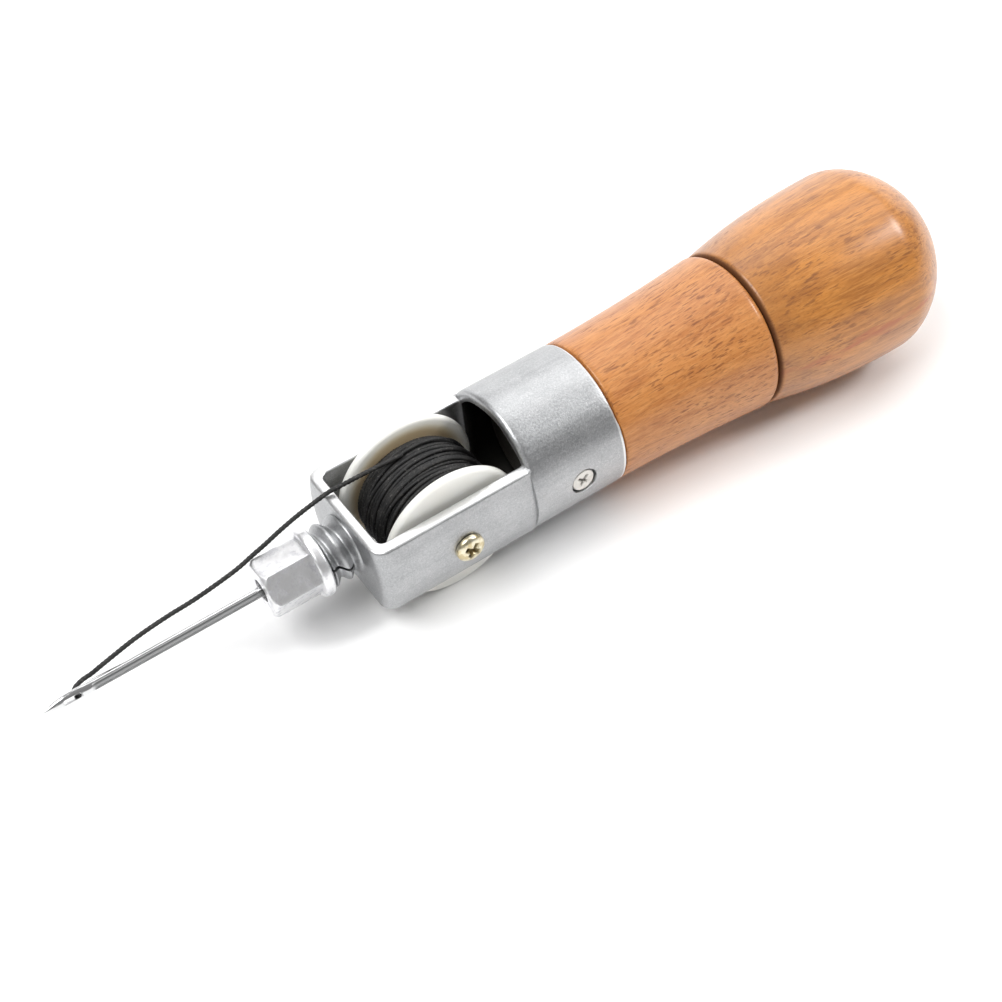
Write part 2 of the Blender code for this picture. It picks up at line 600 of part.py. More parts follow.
def handle_cap():
    front = CAP_SEAM_X + GAP
    edge = 0.9 * MM
    spigot_front = CAP_SEAM_X - SPIGOT_LENGTH
    outline = [(CAP_STORE_END_X + 2.5 * MM, 0.0), (CAP_STORE_END_X, STORE_R), (spigot_front, STORE_R)]
    outline += [(spigot_front, SPIGOT_R - 0.7 * MM)]
    ridges = int((SPIGOT_LENGTH - 1.0 * MM) / SPIGOT_PITCH)
    for i in range(ridges):
        start = spigot_front + 0.4 * MM + i * SPIGOT_PITCH
        outline += [(start + 0.6 * MM, SPIGOT_R), (start + 1.0 * MM, SPIGOT_R)]
        outline += [(start + 1.5 * MM, SPIGOT_R - 0.45 * MM)]
    outline += [(front, SPIGOT_R - 0.45 * MM), (front, cap_radius(front) - edge)]
    outline += [(front + edge * (1 - math.cos(a)), cap_radius(front) - edge * (1 - math.sin(a)))
                for a in (math.radians(d) for d in (30, 60))]
    swell = [front + edge + (CAP_MAX_X - front - edge) * i / 8 for i in range(9)]
    outline += [(x, cap_radius(x)) for x in swell]
    dome = [math.pi / 2 * i / 10 for i in range(1, 10)]
    outline += [(x, cap_radius(x)) for x in (CAP_MAX_X + (BUTT_X - CAP_MAX_X) * math.sin(a) for a in dome)]
    outline += [(BUTT_X, 0.0)]
    return turned("handle_cap", outline, material(*CAP_WOOD), sharp_degrees=40)


# ---------------------------------------------------------------- wrench
def wrench():
    """A stamped flat wrench: a strip with an oblong head whose flats fit the chuck nut."""
    half_end = WRENCH_STRIP_HALF_WIDTH
    front = WRENCH_FRONT_X
    rear = front + WRENCH_LENGTH
    head = WRENCH_HEAD_HALF_WIDTH
    neck_x = rear - WRENCH_HEAD_LENGTH
    upper = arc((front + 1.5 * MM, half_end - 1.5 * MM), 1.5 * MM, 180, 90, 3)
    upper += [(neck_x - 1.6 * MM, half_end), (neck_x - 0.5 * MM, half_end + 0.6 * MM)]
    upper += arc((neck_x + 3.2 * MM, head - 3.2 * MM), 3.2 * MM, 150, 90, 4)
    upper += arc((rear - head, 0.0), head, 90, 0, 8)
    outline = upper + [(x, -y) for x, y in reversed(upper[:-1])]
    low, high = WRENCH_Z - WRENCH_THICKNESS / 2, WRENCH_Z + WRENCH_THICKNESS / 2
    ease_edge = 0.15 * MM
    middle_x = (front + rear) / 2

    def level(z, inset):
        return [(middle_x + (x - middle_x) * (1 - 2 * inset / WRENCH_LENGTH), y * (1 - inset / head), z)
                for x, y in outline]

    levels = [level(low, ease_edge), level(low + ease_edge, 0.0)]
    levels += [level(high - ease_edge, 0.0), level(high, ease_edge)]
    made = loft("wrench", levels, material(*SPRING_STEEL), sharp_degrees=50)
    eye_x = rear - WRENCH_HEAD_LENGTH / 2 + 0.3 * MM
    reach = WRENCH_EYE_LENGTH / 2
    flat_half = math.sqrt(reach**2 - WRENCH_EYE_HALF_WIDTH**2)
    angle = math.degrees(math.atan2(WRENCH_EYE_HALF_WIDTH, flat_half))
    hole = arc((eye_x, 0.0), reach, -angle, angle, 8) + arc((eye_x, 0.0), reach, 180 - angle, 180 + angle, 8)
    eye = loft("wrench_eye", [[(x, y, z) for x, y in hole] for z in (low - 1 * MM, high + 1 * MM)], None)
    boolean(made, eye, "DIFFERENCE")
    return made


# ---------------------------------------------------------------- working thread
def smooth_route(points, count):
    """Evenly spaced points on a Catmull-Rom curve through the given points."""
    ends = [points[0] * 2 - points[1], *points, points[-1] * 2 - points[-2]]
    fine = []
    for before, start, end, after in zip(ends, ends[1:], ends[2:], ends[3:]):
        for i in range(24):
            t = i / 24
            fine.append(0.5 * (
                2 * start + (end - before) * t + (2 * before - 5 * start + 4 * end - after) * t * t
                + (3 * start - 3 * end + after - before) * t**3
            ))
    fine.append(points[-1])
    lengths = [0.0]
    for a, b in zip(fine, fine[1:]):
        lengths.append(lengths[-1] + (b - a).length)
    spaced = []
    k = 0
    for i in range(count):
        wanted = lengths[-1] * i / (count - 1)
        while k < len(lengths) - 2 and lengths[k + 1] < wanted:
            k += 1
        t = (wanted - lengths[k]) / (lengths[k + 1] - lengths[k])
        spaced.append(fine[k].lerp(fine[k + 1], min(t, 1.0)))
    return spaced


def working_thread():
    route = [Vector(point) * MM for point in THREAD_ROUTE_MM]
    curve = bpy.data.curves.new("working_thread", "CURVE")
    curve.dimensions = "3D"
    curve.bevel_depth = THREAD_R
    curve.bevel_resolution = 2
    curve.use_fill_caps = True
    spline = curve.splines.new("POLY")
    spline.points.add(THREAD_POINTS - 1)
    for target, point in zip(spline.points, smooth_route(route, THREAD_POINTS)):
        target.co = (*point, 1.0)
    curve.materials.append(material(*WAXED_THREAD))
    made = bpy.data.objects.new("working_thread", curve)
    bpy.context.collection.objects.link(made)
    return made


# ---------------------------------------------------------------- assembly
def main():
    for existing in list(bpy.data.objects):
        bpy.data.objects.remove(existing, do_unlink=True)
    casting()
    chuck_nut()
    working_needle()
    bobbin()
    thread_winding()
    axle_screw()
    ferrule_screw()
    handle_grip()
    handle_cap()
    spare_needle("spare_needle_heavy", SPARE_NEEDLE_Y, 58 * MM, 0.95 * MM, 1.15 * MM)
    spare_needle("spare_needle_fine", -SPARE_NEEDLE_Y, 54 * MM, 0.8 * MM, 1.0 * MM)
    wrench()
    working_thread()


main()
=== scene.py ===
# %% [markdown]
# # A lock-stitch sewing awl
#
# The tool holds a needle in a small screw chuck. Behind it a cast frame carries a bobbin of waxed
# thread, and a ferrule at the back of the same casting holds a turned wooden handle. The handle is
# hollow: its knob comes off, and spare needles and a wrench are kept inside.
#
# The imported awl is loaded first. It has every piece at its real size and place, so this script only
# builds finer surfaces over those pieces and gives each one its finish.

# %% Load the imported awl
import math

import bmesh
import bpy
from mathutils import Matrix, Vector, noise


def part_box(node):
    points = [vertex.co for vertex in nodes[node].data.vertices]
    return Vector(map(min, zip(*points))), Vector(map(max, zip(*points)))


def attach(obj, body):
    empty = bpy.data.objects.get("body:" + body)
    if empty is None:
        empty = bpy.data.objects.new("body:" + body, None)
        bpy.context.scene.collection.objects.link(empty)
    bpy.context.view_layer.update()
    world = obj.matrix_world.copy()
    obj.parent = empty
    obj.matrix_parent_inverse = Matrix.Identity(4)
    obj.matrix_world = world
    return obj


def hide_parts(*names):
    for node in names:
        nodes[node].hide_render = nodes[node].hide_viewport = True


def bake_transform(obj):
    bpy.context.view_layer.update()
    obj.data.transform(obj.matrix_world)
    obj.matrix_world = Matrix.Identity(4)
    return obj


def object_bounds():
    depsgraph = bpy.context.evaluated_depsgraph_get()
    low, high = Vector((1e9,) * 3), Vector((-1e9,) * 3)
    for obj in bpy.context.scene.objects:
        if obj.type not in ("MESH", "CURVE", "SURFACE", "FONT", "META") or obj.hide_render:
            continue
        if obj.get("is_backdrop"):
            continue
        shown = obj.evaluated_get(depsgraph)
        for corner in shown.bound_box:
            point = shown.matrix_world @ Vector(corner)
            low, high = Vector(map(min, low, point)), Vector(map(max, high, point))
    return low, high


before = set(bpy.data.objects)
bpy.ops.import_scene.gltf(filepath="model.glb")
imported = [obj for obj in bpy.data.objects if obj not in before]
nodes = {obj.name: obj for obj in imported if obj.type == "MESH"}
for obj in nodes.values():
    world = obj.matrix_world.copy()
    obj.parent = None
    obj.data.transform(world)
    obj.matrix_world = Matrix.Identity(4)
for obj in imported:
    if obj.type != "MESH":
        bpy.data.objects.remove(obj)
CAD_BOUNDS = [list(corner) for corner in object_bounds()]

# %% [markdown]
# ## Measures
#
# All the making below is in millimetres, because that is how such a tool is drawn. Most sizes are read
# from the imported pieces. The rest, such as the width of a bevel, are named here or where they are used.
# The tool's axis is X, the needle points to -X, and the bobbin's axle lies along Y.

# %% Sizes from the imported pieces
MM = 0.001


def span(node):
    """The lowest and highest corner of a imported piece, in millimetres."""
    low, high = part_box(node)
    return low / MM, high / MM


casting_low, casting_high = span("frame_casting")
nut_low, nut_high = span("chuck_nut")
needle_low, needle_high = span("needle")
grip_low, grip_high = span("handle_grip")
cap_low, cap_high = span("handle_cap")
bobbin_low, bobbin_high = span("bobbin")
axle_low, axle_high = span("axle_screw")
pin_low, pin_high = span("ferrule_screw")

CHUCK_FRONT = casting_low.x
NUT_FRONT, NUT_REAR = nut_low.x, nut_high.x
FRAME_FRONT = NUT_REAR + 5.3
FERRULE_FRONT = FRAME_FRONT + 29.45
FERRULE_REAR = casting_high.x
FERRULE_R = casting_high.z
CAP_SEAM = grip_high.x
BUTT = cap_high.x
TIP = needle_low.x
BOBBIN_X = (bobbin_low.x + bobbin_high.x) / 2
BOBBIN_R = (bobbin_high.x - bobbin_low.x) / 2
BOBBIN_Y = (bobbin_low.y + bobbin_high.y) / 2
BOBBIN_Z = (bobbin_low.z + bobbin_high.z) / 2
BOBBIN_HALF = (bobbin_high.y - bobbin_low.y) / 2
AXLE_X = (axle_low.x + axle_high.x) / 2
print(f"tip {TIP:.2f}, nut {NUT_FRONT:.2f}..{NUT_REAR:.2f}, ferrule {FERRULE_FRONT:.2f}..{FERRULE_REAR:.2f}")
print(f"seam {CAP_SEAM:.2f}, butt {BUTT:.2f}, ferrule radius {FERRULE_R:.2f}, bobbin radius {BOBBIN_R:.2f}")

# %% [markdown]
# ## The camera
#
# The awl is looked down on from the needle's side, with a lens of about 60 mm. A camera is easiest to
# describe by where it stands, what it aims at and how far it is rolled, so those three are turned into
# its rotation here.

# %% Place the camera
CAMERA_PLACE = Vector((-99.1, -170.7, 214.8))
CAMERA_AIM = Vector((-9.01, -8.24, 0.14))
CAMERA_ROLL = math.radians(-6.87)

camera = bpy.data.objects.new("camera", bpy.data.cameras.new("camera"))
bpy.context.collection.objects.link(camera)
camera.data.lens = 61.4
camera.data.sensor_width = 36.0
camera.data.clip_start = 0.01
camera.location = CAMERA_PLACE * MM
aimed = (CAMERA_AIM - CAMERA_PLACE).to_track_quat("-Z", "Y").to_matrix()
camera.rotation_euler = (aimed @ Matrix.Rotation(CAMERA_ROLL, 3, "Z")).to_euler()
bpy.context.scene.camera = camera
print("camera distance", round((CAMERA_AIM - CAMERA_PLACE).length, 1), "mm")

# %% [markdown]
# ## Working on shaders with plain arithmetic
#
# A procedural material is mostly arithmetic on noise. Blender draws each sum as a node, which is slow to
# read. The class below wraps the output of a node, so that `1 - mask * 0.3` adds those Math nodes by
# itself. Colours don't go through Math nodes, because those would turn them grey.


# %% A wrapped output that can be added, multiplied and so on
class Wire:
    """One output of a shader node."""

    def __init__(self, finish, socket):
        self.finish = finish
        self.socket = socket

    def maths(self, operation, *terms):
        return self.finish.node("ShaderNodeMath", {"operation": operation}, dict(enumerate(terms)))

    def __add__(self, other):
        return self.maths("ADD", self, other)

    def __sub__(self, other):
        return self.maths("SUBTRACT", self, other)

    def __rsub__(self, other):
        return self.maths("SUBTRACT", other, self)

    def __mul__(self, other):
        return self.maths("MULTIPLY", self, other)

    def __truediv__(self, other):
        return self.maths("DIVIDE", self, other)

    def __pow__(self, other):
        return self.maths("POWER", self, other)

    def __abs__(self):
        return self.maths("ABSOLUTE", self)

    __radd__ = __add__
    __rmul__ = __mul__


# %% [markdown]
# A finish is a material while it is being mixed. `node` adds any node at all, and the short methods
# under it are the few recipes that every finish here is mixed from: a place on the piece in
# millimetres, noise, a soft threshold, a mix of two colours, and fine relief.


# %% A material in the making
class Finish:
    """A Principled material with one way to add nodes to it."""

    def __init__(self, name, **constants):
        self.material = bpy.data.materials.new(name)
        self.material.use_nodes = True
        self.shader = self.material.node_tree.nodes["Principled BSDF"]
        for socket, value in constants.items():
            self.shader.inputs[socket.replace("_", " ")].default_value = value

    def node(self, kind, settings=None, inputs=None, output=0):
        """Adds a node, sets it up, feeds its sockets with values or wires, and returns an output."""
        made = self.material.node_tree.nodes.new(kind)
        for key, value in (settings or {}).items():
            setattr(made, key, value)
        for key, value in (inputs or {}).items():
            if isinstance(value, Wire):
                self.material.node_tree.links.new(value.socket, made.inputs[key])
            else:
                made.inputs[key].default_value = value
        return Wire(self, made.outputs[output])

    def feed(self, socket, wire):
        self.material.node_tree.links.new(wire.socket, self.shader.inputs[socket])

    def place(self, stretch=(1.0, 1.0, 1.0), turn=(0.0, 0.0, 0.0), shift=(0.0, 0.0, 0.0)):
        """The place on the piece in millimetres, turned and then stretched."""
        here = self.node("ShaderNodeTexCoord", output="Object")
        turned = self.node(
            "ShaderNodeMapping", {"vector_type": "POINT"},
            {"Vector": here, "Rotation": turn, "Scale": (1000.0, 1000.0, 1000.0), "Location": shift},
        )
        return self.node("ShaderNodeVectorMath", {"operation": "MULTIPLY"}, {0: turned, 1: stretch})

    def noise(self, place, scale, detail=3.0, rough=0.5, warp=0.0):
        inputs = {"Vector": place, "Scale": scale, "Detail": detail, "Roughness": rough}
        inputs["Distortion"] = warp
        return self.node("ShaderNodeTexNoise", None, inputs)

    def axis(self, place, name):
        return self.node("ShaderNodeSeparateXYZ", None, {0: place}, name)

    def from_line(self, place, centre, across):
        """How far a place is from a line through centre. across is 1 on the axes square to it."""
        off = self.node("ShaderNodeVectorMath", {"operation": "SUBTRACT"}, {0: place, 1: centre})
        flat = self.node("ShaderNodeVectorMath", {"operation": "MULTIPLY"}, {0: off, 1: across})
        return self.node("ShaderNodeVectorMath", {"operation": "LENGTH"}, {0: flat}, "Value")

    def step(self, value, low, high):
        """Rises smoothly from 0 at low to 1 at high."""
        inputs = {"Value": value, "From Min": low, "From Max": high}
        return self.node("ShaderNodeMapRange", {"interpolation_type": "SMOOTHSTEP"}, inputs)

    def mix(self, amount, first, second):
        """A colour between two colours."""
        inputs = {0: amount, 6: first, 7: second}
        return self.node("ShaderNodeMix", {"data_type": "RGBA"}, inputs, 2)

    def relief(self, height, depth_mm, normal=None):
        inputs = {"Height": height, "Distance": depth_mm * MM, "Strength": 1.0}
        if normal is not None:
            inputs["Normal"] = normal
        return self.node("ShaderNodeBump", None, inputs)


def rgb(red, green, blue):
    """A colour by the 0-255 values that a screen shows."""
    def linear(value):
        value /= 255.0
        return value / 12.92 if value <= 0.04045 else ((value + 0.055) / 1.055) ** 2.4

    return (linear(red), linear(green), linear(blue), 1.0)


# %% [markdown]
# ## Working on shapes
#
# Nearly everything on this tool is turned, cast or wound, so three helpers make almost all of it. `skin`
# joins a stack of equal loops of points with quads. `lathe` turns an outline into such a stack.
# `rounded` replaces each corner of an outline with an arc, as a file or a mould does.


# %% Mesh helpers
def new_piece(name, bm, sharp_degrees=40.0):
    """Turns a bmesh in millimetres into an object in metres, with outward faces and smooth shading."""
    bmesh.ops.remove_doubles(bm, verts=bm.verts, dist=1e-4)
    bmesh.ops.scale(bm, vec=(MM, MM, MM), verts=bm.verts)
    bmesh.ops.recalc_face_normals(bm, faces=bm.faces)
    mesh = bpy.data.meshes.new(name)
    bm.to_mesh(mesh)
    bm.free()
    mesh.shade_smooth()
    mesh.set_sharp_from_angle(angle=math.radians(sharp_degrees))
    made = bpy.data.objects.new(name, mesh)
    bpy.context.collection.objects.link(made)
    return made


def skin(name, loops, ring=False, sharp_degrees=40.0):
    """Joins a stack of loops with equal numbers of points. A ring also joins the last to the first."""
    bm = bmesh.new()
    rows = [[bm.verts.new(point) for point in loop] for loop in loops]
    count = len(rows[0])
    pairs = list(zip(rows, rows[1:])) + ([(rows[-1], rows[0])] if ring else [])
    for lower, upper in pairs:
        for i in range(count):
            j = (i + 1) % count
            bm.faces.new((lower[i], lower[j], upper[j], upper[i]))
    if not ring:
        bm.faces.new(rows[0])
        bm.faces.new(rows[-1])
    return new_piece(name, bm, sharp_degrees)


def circle(x, radius, steps):
    """A loop about X. It starts at -Y and goes up over +Z. radius may be a function of the angle."""
    points = []
    for i in range(steps):
        angle = math.tau * i / steps
        reach = radius(angle) if callable(radius) else radius
        points.append((x, -reach * math.cos(angle), reach * math.sin(angle)))
    return points


def lathe(name, outline, steps=128, ring=False, sharp_degrees=40.0):
    """Turns an outline of (along, radius) points about X. A ring's outline is closed, for a tube."""
    if ring:
        return skin(name, [circle(x, r, steps) for x, r in outline], True, sharp_degrees)
    bm = bmesh.new()
    rows = []
    for x, r in outline:
        if r > 1e-6:
            rows.append([bm.verts.new(point) for point in circle(x, r, steps)])
        else:
            rows.append([bm.verts.new((x, 0.0, 0.0))] * steps)
    for lower, upper in zip(rows, rows[1:]):
        for i in range(steps):
            j = (i + 1) % steps
            corners = list(dict.fromkeys((lower[i], lower[j], upper[j], upper[i])))
            bm.faces.new(corners)
    return new_piece(name, bm, sharp_degrees)


def rounded(corners, closed=False, steps=5):
    """Turns (along, radius, rounding) corners into a line whose corners are arcs of that rounding."""
    line = []
    for i, (x, r, size) in enumerate(corners):
        here = Vector((x, r))
        if size == 0 or (not closed and i in (0, len(corners) - 1)):
            line.append((x, r))
            continue
        back = (Vector(corners[i - 1][:2]) - here).normalized()
        ahead = (Vector(corners[(i + 1) % len(corners)][:2]) - here).normalized()
        half = back.angle(ahead) / 2
        centre = here + (back + ahead).normalized() * size / math.sin(half)
        first = here + back * size / math.tan(half) - centre
        last = here + ahead * size / math.tan(half) - centre
        turn = math.atan2(first.x * last.y - first.y * last.x, first.dot(last))
        for k in range(steps + 1):
            point = centre + Matrix.Rotation(turn * k / steps, 2) @ first
            line.append((point.x, point.y))
    return line


def fine(line, longest, closed=False):
    """Splits the long stretches of an outline."""
    points = []
    ends = zip(line, line[1:] + (line[:1] if closed else []))
    for start, end in ends:
        pieces = max(1, math.ceil(math.dist(start, end) / longest))
        points += [tuple(a + (b - a) * k / pieces for a, b in zip(start, end)) for k in range(pieces)]
    return points if closed else points + [line[-1]]


def ease(value):
    value = min(max(value, 0.0), 1.0)
    return value * value * (3.0 - 2.0 * value)


def soft_min(first, second, width):
    """The smaller of two lengths, with the corner between them rounded."""
    share = max(width - abs(first - second), 0.0) / width
    return min(first, second) - share * share * width / 4.0


# %% [markdown]
# Holes, slots and screw recesses are cut with Booleans. The result is baked into the mesh and the cutter
# is thrown away, so that no helper is left in the scene. A narrow bevel then takes the knife edge off
# every cut, because that thin bright line is what makes metal look machined and not drawn.


# %% Cutting, joining and settling
def combine(target, other, operation):
    step = target.modifiers.new(operation.lower(), "BOOLEAN")
    step.operation = operation
    step.solver = "EXACT"
    step.object = other
    settle(target)
    bpy.data.objects.remove(other, do_unlink=True)


def settle(target):
    """Applies the modifiers by taking the finished mesh."""
    graph = bpy.context.evaluated_depsgraph_get()
    done = bpy.data.meshes.new_from_object(target.evaluated_get(graph))
    target.modifiers.clear()
    old = target.data
    target.data = done
    bpy.data.meshes.remove(old)


def soften(target, width_mm, degrees=50.0, segments=2):
    """Bevels the edges that are sharper than an angle."""
    step = target.modifiers.new("soften", "BEVEL")
    step.width = width_mm * MM
    step.segments = segments
    step.limit_method = "ANGLE"
    step.angle_limit = math.radians(degrees)
    step.use_clamp_overlap = False
    step.harden_normals = False
    settle(target)
    target.data.shade_smooth()
    target.data.set_sharp_from_angle(angle=math.radians(degrees))


def along_y(target, x, y=0.0, z=0.0):
    """Stands a piece that was turned about X on a line parallel to Y, its +X end towards +Y."""
    target.data.transform(Matrix.Rotation(math.pi / 2, 4, "Z"))
    target.data.transform(Matrix.Translation((x * MM, y * MM, z * MM)))


def dress(target, body, look, slot, *stands_for):
    """Gives a piece its finish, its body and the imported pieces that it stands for."""
    target.data.materials.clear()
    target.data.materials.append(look)
    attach(target, body)
    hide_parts(*stands_for)
    print(f"{target.name}: {len(target.data.polygons)} faces, {look.name}")


# %% [markdown]
# ## The waxed thread
#
# The thread is the only loose piece, so it comes first. It leaves the bobbin, goes over the front rim and
# past the nut, hangs a little between there and the tip, and enters the needle's eye from behind. Real
# waxed thread is three strands twisted together, so its section here is a circle with three shallow
# lobes, which turn once in every few millimetres. That gives the fine slanting ridges by shape alone.

# %% The route of the working thread
THREAD_R = 0.425
THREAD_ROUTE = [Vector(point) for point in (
    (-20.2, 2.5, 10.05), (-26.0, 3.5, 9.25), (-31.2, 4.4, 8.35), (-33.6, 4.7, 8.02),
    (-39.2, 4.3, 7.25), (-43.3, 3.95, 6.35), (-46.4, 3.75, 5.35), (-48.9, 3.60, 4.65),
    (-51.6, 3.35, 3.95), (-54.5, 3.05, 3.60), (-60.3, 2.65, 3.10), (-65.8, 2.2, 3.20),
    (-71.5, 1.8, 2.80), (-77.2, 1.7, 1.35), (-79.6, 1.9, 0.35), (-81.4, 2.1, -0.2),
    (-82.75, 1.8, -0.5), (-83.35, 1.0, -0.27), (-83.4, 0.2, -0.05),
)]


def even_line(points, spacing):
    """Evenly spaced points on a smooth curve through the given ones."""
    ends = [points[0] * 2 - points[1], *points, points[-1] * 2 - points[-2]]
    fine_line = []
    for before, start, end, after in zip(ends, ends[1:], ends[2:], ends[3:]):
        for i in range(40):
            t = i / 40
            fine_line.append(0.5 * (
                2 * start + (end - before) * t + (2 * before - 5 * start + 4 * end - after) * t * t
                + (3 * start - 3 * end + after - before) * t**3
            ))
    fine_line.append(points[-1])
    reached = [0.0]
    for a, b in zip(fine_line, fine_line[1:]):
        reached.append(reached[-1] + (b - a).length)
    count = round(reached[-1] / spacing) + 1
    line, k = [], 0
    for i in range(count):
        wanted = reached[-1] * i / (count - 1)
        while k < len(reached) - 2 and reached[k + 1] < wanted:
            k += 1
        share = (wanted - reached[k]) / (reached[k + 1] - reached[k])
        line.append(fine_line[k].lerp(fine_line[k + 1], min(share, 1.0)))
    return line, reached[-1]


def twisted(name, line, radius, lay=2.3, lobe=0.09, sides=12, flatten=1.0):
    """A tube along a line, its section three shallow lobes that turn once in every lay."""
    loops = []
    across = (line[1] - line[0]).orthogonal().normalized()
    gone = 0.0
    for i, here in enumerate(line):
        ahead = (line[min(i + 1, len(line) - 1)] - line[max(i - 1, 0)]).normalized()
        across = (across - ahead * across.dot(ahead)).normalized()
        beside = ahead.cross(across)
        gone += (here - line[i - 1]).length if i else 0.0
        turn = math.tau * gone / lay
        end = 0.72 if i in (0, len(line) - 1) else 1.0
        loop = []
        for k in range(sides):
            angle = math.tau * k / sides
            reach = radius * end * (1.0 - lobe + lobe * math.cos(3 * (angle - turn)))
            loop.append(here + across * reach * math.cos(angle) + beside * reach * math.sin(angle) * flatten)
        loops.append(loop)
    return skin(name, loops, sharp_degrees=80)


thread_line, thread_length = even_line(THREAD_ROUTE, 0.2)
working_thread = twisted("thread_to_needle", thread_line, THREAD_R)
print("thread from bobbin to eye:", round(thread_length, 1), "mm")

# %% [markdown]
# The wax makes the black thread faintly glossy. Pale specks are painted into its colour as painted glints:
# noise with a high threshold, so only a few specks pass.


# %% Waxed thread finish
def waxed_thread():
    made = Finish("waxed_thread")
    place = made.place()
    # painted glints: pale specks mixed into the black colour
    painted_glint = made.step(made.noise(place, 2.4, 4.0, 0.7), 0.57, 0.70)
    wear = made.step(made.noise(place, 0.5, 2.0), 0.35, 0.75)
    black = made.mix(wear, (0.006, 0.006, 0.0062, 1.0), (0.020, 0.019, 0.018, 1.0))
    made.feed("Base Color", made.mix(painted_glint * 0.5, black, (0.22, 0.21, 0.20, 1.0)))
    made.feed("Roughness", 0.42 + 0.25 * made.noise(place, 3.0))
    fibres = made.noise(place, 7.0, 3.0, 0.6)
    made.feed("Normal", made.relief(fibres, 0.05))
    return made.material


THREAD_LOOK = waxed_thread()

# %% Give the thread its finish and hide the imported one
working_thread.data.materials.append(THREAD_LOOK)
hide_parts("working_thread")
thread_line[0] * MM
thread_length * MM
[point * MM for point in thread_line]
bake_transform(working_thread)

# %% [markdown]
# ## The wound bobbin
#
# Thread is wound by hand in layers that cross at shallow angles, so a single neat helix would look wrong.
# One full layer lies underneath, and four looser ones run over it, back and forth, each wandering more
# than the last. Their ends are tucked under. A dark core fills the middle, where nothing is seen.

# %% Wind the thread
BOBBIN_HALF_GAP = BOBBIN_HALF - 1.6
WOUND_R = 10.4
WOUND_HALF = BOBBIN_HALF_GAP - 0.5


def wound_line(turns, start_y, end_y, radius, wander, seed, spacing):
    """Points of a strand that goes round the bobbin while it crosses from start_y to end_y."""
    count = round(turns * math.tau * radius / spacing)
    line = []
    for i in range(count + 1):
        share = i / count
        angle = math.tau * turns * share + seed
        drift = noise.noise((share * turns * 1.3, seed, 0.0)) * wander
        drift += noise.noise((share * turns * 4.0, seed, 9.0)) * 0.3
        swell = noise.noise((share * turns * 2.1, seed, 5.0)) * 0.2
        y = min(max(start_y + (end_y - start_y) * share + drift, -WOUND_HALF), WOUND_HALF)
        tuck = 1.5 * (1 - ease(min(share, 1 - share) * turns * 2.5))
        reach = radius + swell - tuck - 0.5 * (abs(y) / WOUND_HALF) ** 3
        across, up = reach * math.cos(angle), reach * math.sin(angle)
        line.append(Vector((BOBBIN_X + across, BOBBIN_Y + y, BOBBIN_Z + up)))
    return line


def wound_thread():
    half = WOUND_HALF
    top = WOUND_R - 1.0
    core = rounded([(-half, 4.4, 0), (-half, top - 0.6, 0.8), (half, top - 0.6, 0.8), (half, 4.4, 0)])
    made = lathe("thread_wound_on_bobbin", core, 72, ring=True)
    along_y(made, BOBBIN_X, BOBBIN_Y, BOBBIN_Z)
    layers = [
        (14.2, -half, half, WOUND_R - 0.80, 0.10, 1.0),
        (11.6, half, -half, WOUND_R - 0.30, 1.2, 2.0),
        (8.3, -half, half, WOUND_R - 0.10, 1.6, 4.4),
        (4.7, half, -half, WOUND_R + 0.12, 2.0, 7.1),
        (2.6, -0.8 * half, 0.9 * half, WOUND_R + 0.28, 2.4, 3.3),
    ]
    strands = []
    for number, (turns, start, end, radius, wander, seed) in enumerate(layers):
        line = wound_line(turns, start, end, radius, wander, seed, 0.32)
        strands.append(twisted(f"strand_{number}", line, THREAD_R, lay=1.8, lobe=0.15, sides=9))
    return join([made, *strands])


def join(pieces):
    """Puts several meshes into the first one."""
    bm = bmesh.new()
    for piece in pieces:
        bm.from_mesh(piece.data)
    bm.to_mesh(pieces[0].data)
    bm.free()
    for piece in pieces[1:]:
        bpy.data.objects.remove(piece, do_unlink=True)
    pieces[0].data.shade_smooth()
    return pieces[0]


dress(wound_thread(), "bobbin", THREAD_LOOK, "waxed_thread", "thread_winding")

# %% [markdown]
# The bobbin is one moulding of cream plastic with thick rounded rims. Plastic of this kind is slightly
# glossy and faintly uneven from the mould. Its inner faces are painted tan next to the thread, as painted
# shade.


# %% Cream plastic finish
def cream_plastic():
    made = Finish(
        "cream_plastic", Coat_Roughness=0.2, Coat_Weight=0.15, Subsurface_Weight=0.5,
        Subsurface_Scale=0.004, Subsurface_Radius=(1.0, 0.97, 0.9),
    )
    place = made.place()
    radius = made.from_line(place, (BOBBIN_X, BOBBIN_Y, BOBBIN_Z), (1.0, 0.0, 1.0))
    from_middle = abs(made.axis(place, "Y") - BOBBIN_Y)
    inside = 1 - made.step(from_middle, BOBBIN_HALF_GAP + 0.1, BOBBIN_HALF_GAP + 0.5)
    # painted shade: the inner faces turn tan next to the thread
    painted_hub_shade = (1 - made.step(radius, 10.0, 12.3)) * inside
    cloud = made.noise(place, 0.22, 3.0)
    cream = made.mix(cloud, rgb(250, 249, 242), rgb(244, 241, 230))
    made.feed("Base Color", made.mix(painted_hub_shade * 0.85, cream, rgb(196, 176, 140)))
    made.feed("Roughness", 0.30 + 0.18 * made.noise(place, 1.4))
    ripple = made.noise(place, 0.9, 2.0) + 0.25 * made.noise(place, 6.0, 2.0)
    made.feed("Normal", made.relief(ripple, 0.03))
    return made.material


# %% Turn the bobbin
def bobbin():
    inner, outer, bore = BOBBIN_HALF_GAP, BOBBIN_HALF, 2.6
    corners = []
    for side in (-1, 1):
        flange = [
            (side * outer, bore, 0.2), (side * outer, BOBBIN_R, 0.6),
            (side * inner, BOBBIN_R, 0.6), (side * inner, 3.9, 0.3),
        ]
        corners += flange if side < 0 else flange[::-1]
    made = lathe("bobbin_moulding", fine(rounded(corners, closed=True), 1.2, closed=True), 128, ring=True)
    along_y(made, BOBBIN_X, BOBBIN_Y, BOBBIN_Z)
    return made


